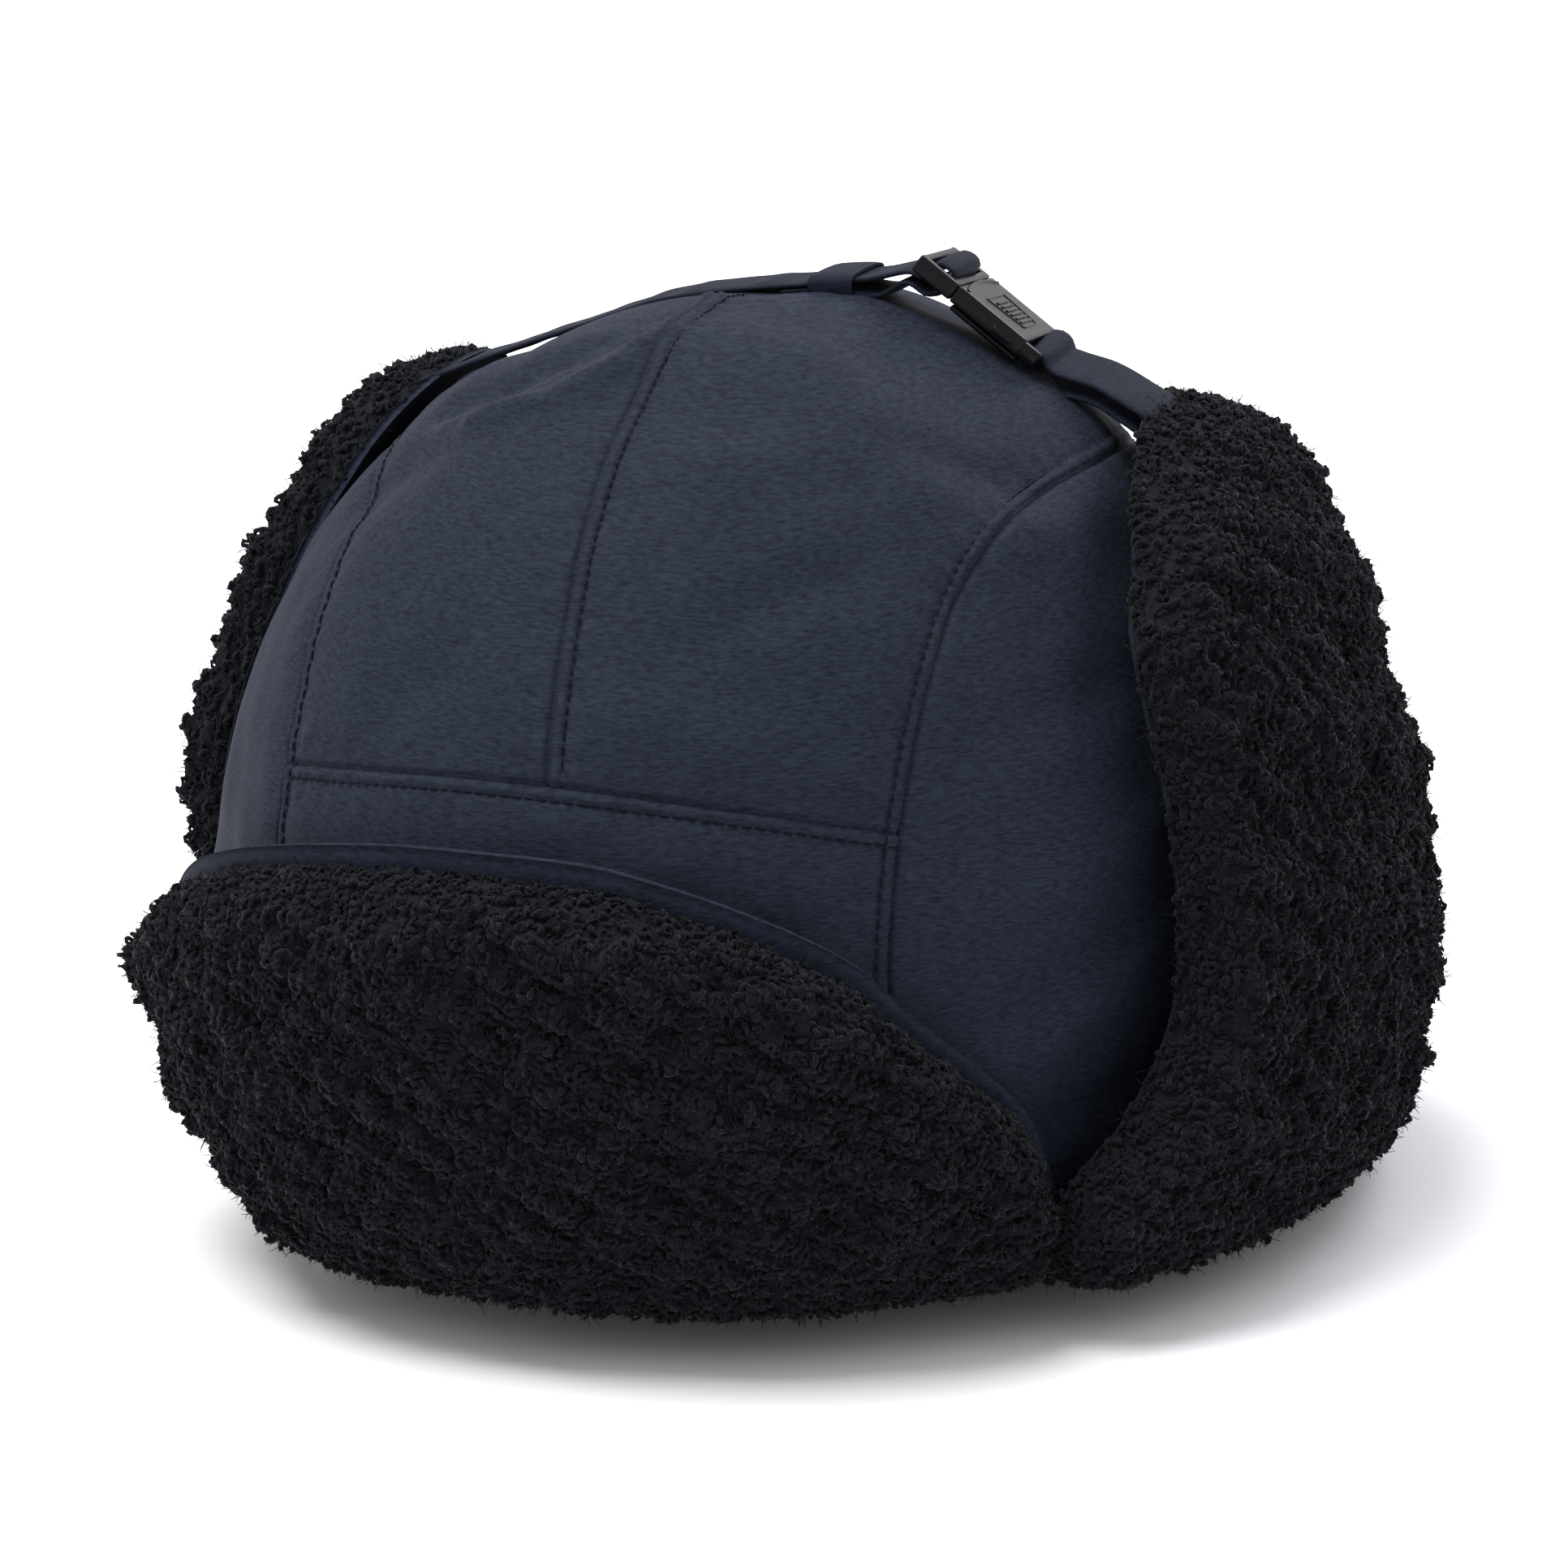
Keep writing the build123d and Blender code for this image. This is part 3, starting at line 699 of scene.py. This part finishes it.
def unit(vectors):
    return vectors / (np.linalg.norm(vectors, axis=-1, keepdims=True) + 1e-9)


def curls(name, grid, area_each, size=1.0):
    """Coils of fibre over a grid of points."""
    place, normal = scattered(grid, area_each)
    count = len(place)
    steps = 8
    axis = unit(rng.normal(size=(count, 3)) + normal * 0.2)
    first = unit(np.cross(axis, rng.normal(size=(count, 3))))
    second = np.cross(axis, first)
    s = np.linspace(0, 1, steps)[None, :, None]
    coil = size * rng.uniform(0.5, 1.05, (count, 1, 1))
    loops = rng.uniform(0.7, 1.5, (count, 1, 1))
    length = size * rng.uniform(0.5, 1.8, (count, 1, 1))
    phase = rng.uniform(0, 2 * np.pi, (count, 1, 1))
    angle = 2 * np.pi * loops * s + phase
    swell = 0.55 + 0.55 * np.sin(np.pi * s)
    centres = place[:, None] + normal[:, None] * rng.uniform(-0.35, 0.5, (count, 1, 1))
    round_it = np.cos(angle) * first[:, None] + np.sin(angle) * second[:, None]
    centres = centres + coil * swell * round_it + (s - 0.5) * length * axis[:, None]
    taper = np.array([0.2, 0.7, 1, 1.1, 1.1, 1, 0.7, 0.2])
    radii = size * rng.uniform(0.3, 0.58, (count, 1)) * taper
    points, quads = tubes(centres, radii, 4, normal)
    return finish_mesh(name, keep_up(points), quads, PILE)


def fuzz(name, grid, area_each):
    """Loose curved fibres standing out of the pile."""
    place, normal = scattered(grid, area_each)
    count = len(place)
    lean = unit(normal + 0.9 * rng.normal(size=(count, 3)))
    side = unit(np.cross(lean, rng.normal(size=(count, 3))))
    s = np.linspace(0, 1, 5)[None, :, None]
    length = rng.uniform(1.0, 3.2, (count, 1, 1))
    bend = rng.uniform(-1.8, 1.8, (count, 1, 1))
    centres = place[:, None] + lean[:, None] * length * s + side[:, None] * bend * s**2
    radii = np.repeat(np.array([[0.1, 0.09, 0.08, 0.07, 0.04]]), count, 0)
    points, quads = tubes(centres, radii, 3, normal)
    return finish_mesh(name, keep_up(points), quads, PILE)


def keep_up(points):
    """Points with none below the floor."""
    points = np.array(points)
    points[:, 2] = np.maximum(points[:, 2], 0.15)
    return points


def flap(name, knots, gap_at, reach_at, edge_radius, pile_inset, creases=()):
    """One whole flap: facing, pile ground, curls and fuzz. gap_at and reach_at give how far its
    inner face and its pile stand off the crown, at an angle and a height."""
    flat, edge_gap = laid_out(knots, 0.0, 1.5)
    turn, height = flat[..., 0] / DEGREE, flat[..., 1]
    inner = gap_at(turn, height)
    bead = 0.6 * np.exp(-(((edge_gap - 1.2) / 1.3) ** 2))
    facing = shell(
        name + "_facing_cloth",
        settle(on_flap(turn, height, inner + 1.5 + bead)),
        settle(on_flap(turn, height, inner - 0.4 * bead)),
        NYLON,
    )
    flat, edge_gap = laid_out(knots, pile_inset, 1.1)
    turn, height = flat[..., 0] / DEGREE, flat[..., 1]
    inner = gap_at(turn, height) + 1.4
    outer = inner + (reach_at(turn, height) - inner) * bull(edge_gap, edge_radius)
    plain = on_flap(turn, height, outer)
    lumps = 0.9 * waves(plain, 21.0, 11) + 0.55 * waves(plain, 8.0, 12)
    lumps = lumps + 0.7 * waves(plain, 4.4, 13)
    for start, end, depth, width in creases:
        line = on_flap(*[np.linspace(start[k], end[k], 40) for k in (0, 1)], np.full(40, 15.0))
        gap, along = nearest(plain, line)
        lumps = lumps - depth * np.exp(-((gap / width) ** 2))
    plain = on_flap(turn, height, outer + lumps * bull(edge_gap, 3.0) - 0.6)
    ground_grid = settle(plain)
    ground_grid[..., 2] = np.maximum(ground_grid[..., 2], 0.3)
    ground_back = settle(on_flap(turn, height, inner - 0.2))
    ground = shell(name + "_pile_ground", ground_grid, ground_back, PILE)
    coils = curls(name + "_pile_curls", ground_grid, CURL_AREA)
    fibres = fuzz(name + "_pile_fuzz", ground_grid, FUZZ_AREA)
    for piece in (facing, ground, coils, fibres):
        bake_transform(piece)
    return facing, ground, coils, fibres


# %% Front flap
FRONT_EDGE = (
    (-66, 0), (-67.5, 20), (-67, 38), (-64, 48), (-56, 60), (-45.8, 71), (-36, 77.5), (-26, 82),
    (-14, 85.5), (-4, 86.5), (7, 86), (14, 83.5), (21, 79.5), (28, 74), (33.4, 68), (38, 60),
    (44, 50.5), (48, 43.5), (51.5, 35), (54.5, 22), (57, 12), (58, 0),
)


def front_gap(turn, height):
    return np.interp(height, (0, 8, 30, 90), (0.8, 2.5, 4.0, 10.0))


def front_reach(turn, height):
    middle = np.interp(height, (0, 3, 8, 18, 35, 60, 90), (7.5, 11, 14.5, 18, 20, 21.5, 23))
    right = np.interp(height, (0, 5, 12, 20, 30, 50, 90), (3, 4.5, 7.5, 10, 12, 15.5, 20))
    share = np.clip((-turn - 25) / 35, 0, 1)
    return middle * (1 - share) + right * share


front = flap(
    "front_flap",
    FRONT_EDGE,
    front_gap,
    front_reach,
    8.0,
    4.0,
    creases=(
        ((-50, 60), (-18, 66), 1.3, 2.2),
        ((-20, 62), (14, 50), 1.2, 2.2),
        ((-40, 40), (8, 36), 1.2, 2.4),
        ((6, 30), (40, 26), 1.0, 2.4),
    ),
)
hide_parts("front_flap_facing", "front_flap_interlining")
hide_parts("front_flap_pile")


# %% Ear flaps
LEFT_EDGE = (
    (54, 0), (52.5, 12), (54.7, 23.2), (60, 34), (65, 51), (66, 68), (66, 86), (66, 111),
    (69, 121), (75.5, 132.5), (83, 138.5), (92, 142), (104, 143.5), (114, 139), (122, 126),
    (127.5, 104), (129.8, 80), (130, 40), (130, 0),
)
RIGHT_EDGE = (
    (-67, 0), (-69, 30), (-73, 60), (-76, 90), (-80, 115), (-84, 131), (-91, 141), (-100, 145),
    (-110, 142), (-119, 130), (-126, 108), (-129.5, 80), (-130, 40), (-130, 0),
)


def left_gap(turn, height):
    return np.interp(height, (0, 5, 12, 40, 100, 140), (0.8, 6, 9.5, 11, 11, 15))


def left_reach(turn, height):
    return np.interp(
        height,
        (0, 2, 5, 12, 20, 30, 50, 70, 85, 100, 115, 127, 142),
        (16.5, 20.5, 23, 24.8, 26, 27, 27, 25, 23.5, 23.5, 25.5, 27.5, 29),
    )


def right_gap(turn, height):
    return np.interp(height, (0, 10, 105, 125, 145), (0.6, 1.2, 1.5, 3.5, 8))


def right_reach(turn, height):
    front_part = np.interp(
        height,
        (0, 5, 12, 30, 65, 85, 100, 115, 127, 145),
        (4, 5.5, 6.5, 7.5, 9, 11, 12, 13.5, 15, 18.5),
    )
    return front_part + np.interp(-turn, (85, 110, 130), (0, 4, 7))


left = flap("left_ear_flap", LEFT_EDGE, left_gap, left_reach, 5.5, -0.6)
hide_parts("left_ear_flap_facing")
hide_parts("left_ear_flap_pile")
right = flap("right_ear_flap", RIGHT_EDGE, right_gap, right_reach, 6.0, 0.8)
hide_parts("right_ear_flap_facing")
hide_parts("right_ear_flap_pile")


# %% Neck flap
NECK_EDGE = (
    (130.6, 0), (131, 40), (132.2, 75), (136, 92), (146, 98), (162, 93), (180, 90), (198, 93),
    (214, 98), (224, 92), (227.8, 75), (229, 40), (229.4, 0),
)


def neck_gap(turn, height):
    return np.interp(height, (0, 5, 12, 100), (0.8, 3, 4, 5))


def neck_reach(turn, height):
    shape = np.interp(height, (0, 2, 5, 12, 30, 60, 100), (11, 14, 16, 18, 20, 19.5, 19.5))
    return shape + np.interp(turn, (131, 150, 205, 229), (6, 0, 0, -4))


neck = flap("neck_flap", NECK_EDGE, neck_gap, neck_reach, 8.5, 0.8)
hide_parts("neck_flap_facing")
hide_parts("neck_flap_pile")
print("pile faces", sum(len(piece.data.polygons) for piece in (*front, *left, *right, *neck)))


# %% [markdown]
# ## Lining, sweatband and label
# Inside, a smooth polyester lining follows the crown, and a soft band runs round the hem where the
# hat touches the head. They sit under the wadding, so they are the crown's shape taken in.

# %% Inside of the hat
def inside(name, inset, low, high, thickness, material, rows):
    """A layer inside the crown between two heights, as a closed sheet."""
    turn = np.linspace(-180, 180, 241)[:, None]
    height = np.linspace(low, high, rows)[None, :]
    shift = inset + 0.35 * waves(on_flap(turn + 0 * height, height + 0 * turn, 0.0), 24.0, 21)
    seam = np.abs(np.abs(on_flap(turn + 0 * height, height + 0 * turn, -inset)[..., 0]) - SEAM_X)
    shift = shift + 0.4 * np.exp(-((seam / 0.8) ** 2))
    near = on_flap(turn, height, -shift)
    far = on_flap(turn, height, -(shift + thickness))
    return shell(name, settle(near), settle(far), material)


lining = inside("lining_cloth", 5.2, 1.0, HEIGHT - 9.0, 0.9, LINING, 150)
sweatband = inside("sweatband_cloth", 6.6, 2.0, 34.0, 1.6, LINING, 40)
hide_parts("lining_centre", "lining_side_left", "lining_side_right")
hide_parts("sweatband")
for piece, slot_name in ((lining, "lining"), (sweatband, "sweatband")):
    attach(piece, "root")
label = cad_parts["size_label"]
label.data.materials.clear()
label.data.materials.append(LABEL)
print("lining", len(lining.data.polygons))


# %% [markdown]
# ## Buckle
# A side-release buckle moulded in acetal: a socket with a ladder bar on the wearer's left, and a
# plug whose frame the adjustable strap turns round. The pad on top has plain raised ribs for grip.

# %% Buckle helpers
ALONG = np.array([math.cos(math.radians(36)), 0, -math.sin(math.radians(36))])
UP = np.array(
    [
        math.sin(math.radians(36)) * math.cos(math.radians(6)),
        math.sin(math.radians(6)),
        math.cos(math.radians(36)) * math.cos(math.radians(6)),
    ]
)
ASIDE = np.cross(UP, ALONG)
DEEP = 5.0                 # the buckle's thickness at its middle,
SIDE_DEEP = 3.4            # and at its sides
BUCKLE_CLEAR = 5.6         # its underside clears the plain crown by this
JOINT_SHARE = 0.4          # the joint's place, as a share of the way out to the side
JOINT_X = JOINT_SHARE * HALF_WIDTH
JOINT_RISE = CAP * math.sqrt(1 - JOINT_SHARE**2 - (STRAP_Y / HALF_LENGTH) ** 2)
JOINT_Z = WALL + JOINT_RISE + DEEP + BUCKLE_CLEAR
JOINT = np.array([JOINT_X, STRAP_Y, JOINT_Z])


def in_buckle(points):
    """Points from the buckle's own frame: along it, across it, and out of its top face."""
    points = np.asarray(points, float)
    return JOINT + points @ np.stack([ALONG, ASIDE, UP])


def soft_box(low, high, radius, shear=0.0):
    """A box with rounded edges in the buckle's frame; shear slants it along as it goes across."""
    low, high = np.array(low, float), np.array(high, float)
    ticks = np.array([0, 0.02, 0.06, 0.12, 0.5, 0.88, 0.94, 0.98, 1.0])
    points, quads = [], []
    for axis in range(3):
        for end in (0.0, 1.0):
            u, v = np.meshgrid(ticks, ticks, indexing="ij")
            face = np.empty(u.shape + (3,))
            face[..., axis] = end
            face[..., (axis + 1) % 3] = u
            face[..., (axis + 2) % 3] = v
            grid = grid_quads(9, 9, 81 * len(points))
            quads.append(grid if end else grid[:, ::-1])
            points.append(face.reshape(-1, 3))
    points = low + np.vstack(points) * (high - low)
    core = np.clip(points, low + radius, high - radius)
    push = points - core
    points = core + push / (np.linalg.norm(push, axis=1, keepdims=True) + 1e-9) * radius
    points[:, 0] += shear * (points[:, 1] - 0.5 * (low[1] + high[1]))
    rounded_points = np.round(points, 3)
    unique, index = np.unique(rounded_points, axis=0, return_inverse=True)
    return unique, index.reshape(-1)[np.vstack(quads)]


def moulding(name, boxes, rods=()):
    """One moulded piece from rounded boxes and rods, in place on the hat."""
    points, quads, count = [], [], 0
    for box in boxes:
        p, q = soft_box(*box)
        points.append(in_buckle(p))
        quads.append(q + count)
        count += len(p)
    for line, radius in rods:
        line = in_buckle(line)
        p, q = tubes(line[None], np.full((1, len(line)), radius), 8, UP[None])
        points.append(p)
        quads.append(q + count)
        count += len(p)
    return finish_mesh(name, np.vstack(points), np.vstack(quads), BUCKLE)


# %% Buckle parts
bow = np.linspace(-9.7, 9.7, 25)
lip = np.stack([0.5 + 1.3 * (bow / 9.7) ** 2, bow, 0 * bow - 0.1], -1)
pad_corners = [(4.6, -5.4), (12.6, -4.2), (12.6, 4.2), (4.6, 5.4), (4.6, -5.4)]
pad_line = dense([(x, y, 0.02) for x, y in pad_corners], 41)
ribs = [((5.9 + 1.05 * n, -3.4, -0.3), (6.45 + 1.05 * n, 3.4, 0.34), 0.2) for n in range(6)]
socket_boxes = [
    ((0.1, -10.5, -1.2), (15.4, 10.5, 0), 0.45),
    ((0.6, -8.6, -DEEP), (15.4, 8.6, -DEEP + 1.1), 0.5),
    ((14.0, -10.3, -SIDE_DEEP), (15.4, 10.3, 0), 0.5),
    ((17.4, -10.2, -DEEP + 1.2), (19.0, 10.2, -1.2), 0.75),
    *ribs,
]
plug_boxes = [
    ((-8.6, -10.5, -SIDE_DEEP), (-6.9, 10.5, 0), 0.7),
    ((-5.2, -10.0, -SIDE_DEEP), (-3.6, 10.0, -1.9), 0.6),
    ((-1.7, -10.5, -SIDE_DEEP), (0.0, 10.5, 0), 0.45),
    ((-1.0, -2.5, -3.3), (12.0, 2.5, -1.7), 0.5),
]
for side in (-1, 1):
    low, high = sorted((side * 8.6, side * 10.5))
    socket_boxes.append(((0.1, low, -SIDE_DEEP), (15.4, high, 0), 0.45))
    socket_boxes.append(((14.0, low, -SIDE_DEEP), (19.0, high, -0.3), 0.75))
    plug_boxes.append(((-8.6, low, -SIDE_DEEP), (0.0, high, 0), 0.45))
socket = moulding("socket_moulding", socket_boxes, [(lip, 0.4), (pad_line, 0.2)])
plug = moulding("plug_moulding", plug_boxes)
latches = []
for side, name in ((-1, "latch_front_moulding"), (1, "latch_back_moulding")):
    arm = sorted((side * 6.3, side * 7.9))
    head = sorted((side * 7.2, side * 10.75))
    boxes = [
        ((0.0, arm[0], -3.2), (13.0, arm[1], -1.3), 0.5),
        ((9.0, head[0], -2.9), (13.4, head[1], -1.3), 0.6),
    ]
    latches.append(moulding(name, boxes))
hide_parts("buckle_socket")
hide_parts("buckle_plug")
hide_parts("buckle_latch_front")
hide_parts("buckle_latch_back")
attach(socket, "left_strap")
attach(plug, "buckle_plug")
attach(latches[0], "latch_front")
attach(latches[1], "latch_back")
print("buckle at", JOINT)


# %% [markdown]
# ## Straps
# Nylon strap 15 mm wide. The right strap passes under the plug's frame, turns over its middle bar
# and runs back under itself to the keeper; the left strap is a loop round the socket's ladder bar.
# Both go down behind the tops of the ear flaps, where they are sewn to the facings.

# %% Straps
STRAP_WIDTH = 14.6
STRAP_THICK = 1.3
KEEPER_X, KEEPER_Z = 12.7, 162.5    # the keeper's middle
KEEPER_REACH, KEEPER_RISE = 8.3, 1.9


def squarish(wave, power):
    """A sine or cosine drawn out towards a square wave, for ovals with flatter sides."""
    return np.sign(wave) * np.abs(wave) ** power


def strap(name, line, seed, roll=0.0):
    """A flat strap along a line, with round edges and a little waviness; roll in degrees lowers
    its front edge."""
    line = rounded(line, 0.7)
    along = unit(np.gradient(line, axis=0))
    lean = np.array([0, math.cos(math.radians(roll)), math.sin(math.radians(roll))])
    across = unit(lean - along * (along @ lean)[:, None])
    normal = np.cross(along, across)
    turn = np.linspace(0, 2 * np.pi, 28, endpoint=False)
    flat = squarish(np.cos(turn), 0.55) * STRAP_WIDTH / 2
    thick = squarish(np.sin(turn), 0.6) * STRAP_THICK / 2
    crown = np.cos(np.pi * flat / STRAP_WIDTH)[None, :, None]
    ruck = 0.22 * waves(line, 9.0, seed)[:, None, None] * crown
    points = line[:, None] + across[:, None] * flat[None, :, None]
    points = (points + normal[:, None] * (thick[None, :, None] + ruck)).reshape(-1, 3)
    ends = [
        (start + k, start + k + 1, start + 26 - k, start + 27 - k)
        for start in (0, (len(line) - 1) * 28)
        for k in range(13)
    ]
    quads = np.vstack([grid_quads(len(line), 28, closed=True), ends])
    return finish_mesh(name, points, outward(points, quads), WEBBING)


def over_hat(places):
    """Points on the strap's line over the hat from (x, z) pairs."""
    return [(x, STRAP_Y, z) for x, z in places]


def by_buckle(places):
    """Points on the strap's line from (along, out) pairs in the buckle's frame."""
    return list(in_buckle([(x, 0, z) for x, z in places]))


PUFFED_LOOP = (
    (-9.5, -4.4), (-6.9, -3.4), (-6.2, -1.6), (-6.1, -0.4), (-5.5, 0.55), (-4.2, 0.95),
    (-2.9, 0.75), (-2.45, 0.0), (-2.6, -1.6), (-3.0, -3.6), (-4.6, -5.2), (-8.5, -6.0),
)
TAIL = ((21, 161.4), (14, 161.9), (8, 161.6), (3, 161.0))
right_line = over_hat(STRAP_OVER) + by_buckle(PUFFED_LOOP) + over_hat(TAIL)
right_strap = strap("right_strap_webbing", right_line, 31)
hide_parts("right_strap", "strap_end")
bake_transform(right_strap)

BAR_LOOP = (
    (22.0, -4.6), (19.0, -5.1), (17.0, -4.9), (16.15, -3.6), (16.1, -2.0), (16.3, -0.8),
    (17.2, -0.15), (18.8, -0.1), (21.5, -0.9),
)
lower_layer = over_hat([(78, 128), (75.6, 133.6), (71.4, 139.2), (65.5, 143.2), (60, 146.0)])
upper_layer = over_hat([(61, 148.6), (67.5, 145.4), (73.4, 141.8), (77.8, 136.4), (79.8, 129.5)])
left_line = lower_layer + by_buckle(BAR_LOOP) + upper_layer
left_strap = strap("left_strap_webbing", left_line, 32, roll=7.0)
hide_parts("left_strap")
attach(left_strap, "left_strap")

loop_turn = np.linspace(0, 2 * np.pi, 49)
loop_y = STRAP_Y + KEEPER_REACH * squarish(np.cos(loop_turn), 0.35)
loop_z = KEEPER_Z + KEEPER_RISE * squarish(np.sin(loop_turn), 0.5)
across_x = np.linspace(8.6, 16.8, 9)
flat_x = np.broadcast_to(across_x, (len(loop_y), 9))
tilt = 0.09 * (flat_x - KEEPER_X)
band_in = np.stack([flat_x, loop_y[:, None] + 0 * flat_x, loop_z[:, None] + tilt], -1)
aside, above = (loop_y - STRAP_Y) / KEEPER_REACH, (loop_z - KEEPER_Z) / KEEPER_RISE
out_from = unit(np.stack([0 * loop_y, aside, above], -1))
edge_soft = 0.7 * np.sqrt(np.clip(1 - ((across_x - KEEPER_X) / 4.25) ** 2, 0, 1)) ** 0.4
band_out = band_in + out_from[:, None] * edge_soft[None, :, None]
keeper = shell("keeper_webbing", band_out, band_in, WEBBING)
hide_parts("strap_keeper")
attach(keeper, "strap_keeper")
print("straps", len(right_strap.data.polygons), len(left_strap.data.polygons))


# %% [markdown]
# ## Studio
# A pale seamless floor under soft, even light: a big softbox above the front left, and white walls
# all round, which the world stands for.

# %% Floor, light and camera
floor_mesh = bpy.data.meshes.new("floor")
floor_mesh.from_pydata([(-6, -6, 0), (6, -6, 0), (6, 6, 0), (-6, 6, 0)], [], [(0, 1, 2, 3)])
floor = bpy.data.objects.new("floor", floor_mesh)
bpy.context.scene.collection.objects.link(floor)
FLOOR, _, floor_shader = new_material("pale_paper")
floor_shader.inputs["Base Color"].default_value = linear("#f4f5f7")
floor_shader.inputs["Roughness"].default_value = 0.9
floor_mesh.materials.append(FLOOR)

world = bpy.data.worlds.new("studio")
bpy.context.scene.world = world
world.use_nodes = True
background = world.node_tree.nodes["Background"]
background.inputs["Color"].default_value = linear("#ffffff")
background.inputs["Strength"].default_value = 0.9


def softbox(name, place, aim, size, watts, colour):
    """An area light at a place in metres, pointed at another."""
    lamp = bpy.data.lights.new(name, "AREA")
    lamp.shape = "DISK"
    lamp.size = size
    lamp.energy = watts
    lamp.color = linear(colour)[:3]
    box = bpy.data.objects.new(name, lamp)
    bpy.context.scene.collection.objects.link(box)
    box.location = place
    direction = np.subtract(aim, place)
    box.rotation_mode = "QUATERNION"
    box.rotation_quaternion = Vector(direction).to_track_quat("-Z", "Y")
    return box


softbox("key", (-0.75, -0.35, 2.4), (0, 0, 0.08), 2.0, 80, "#ffffff")
softbox("back", (0.5, 1.6, 1.5), (0, 0, 0.08), 1.2, 20, "#f3f6ff")

AZIMUTH, ELEVATION, DISTANCE = math.radians(20.7), math.radians(13.2), 1.3
back_off = np.array(
    [
        math.sin(AZIMUTH) * math.cos(ELEVATION),
        -math.cos(AZIMUTH) * math.cos(ELEVATION),
        math.sin(ELEVATION),
    ]
)
lens = bpy.data.cameras.new("camera")
camera = bpy.data.objects.new("camera", lens)
bpy.context.scene.collection.objects.link(camera)
camera.location = Vector(back_off * DISTANCE) + Vector((0, 0, 0.08))
camera.rotation_mode = "QUATERNION"
camera.rotation_quaternion = Vector(-back_off).to_track_quat("-Z", "Y")
lens.sensor_width = 36.0
lens.lens = 167.4
lens.shift_x = 0.0161
lens.shift_y = -0.0265
lens.clip_start = 0.01
bpy.context.scene.camera = camera
bpy.context.scene.view_settings.view_transform = "Standard"
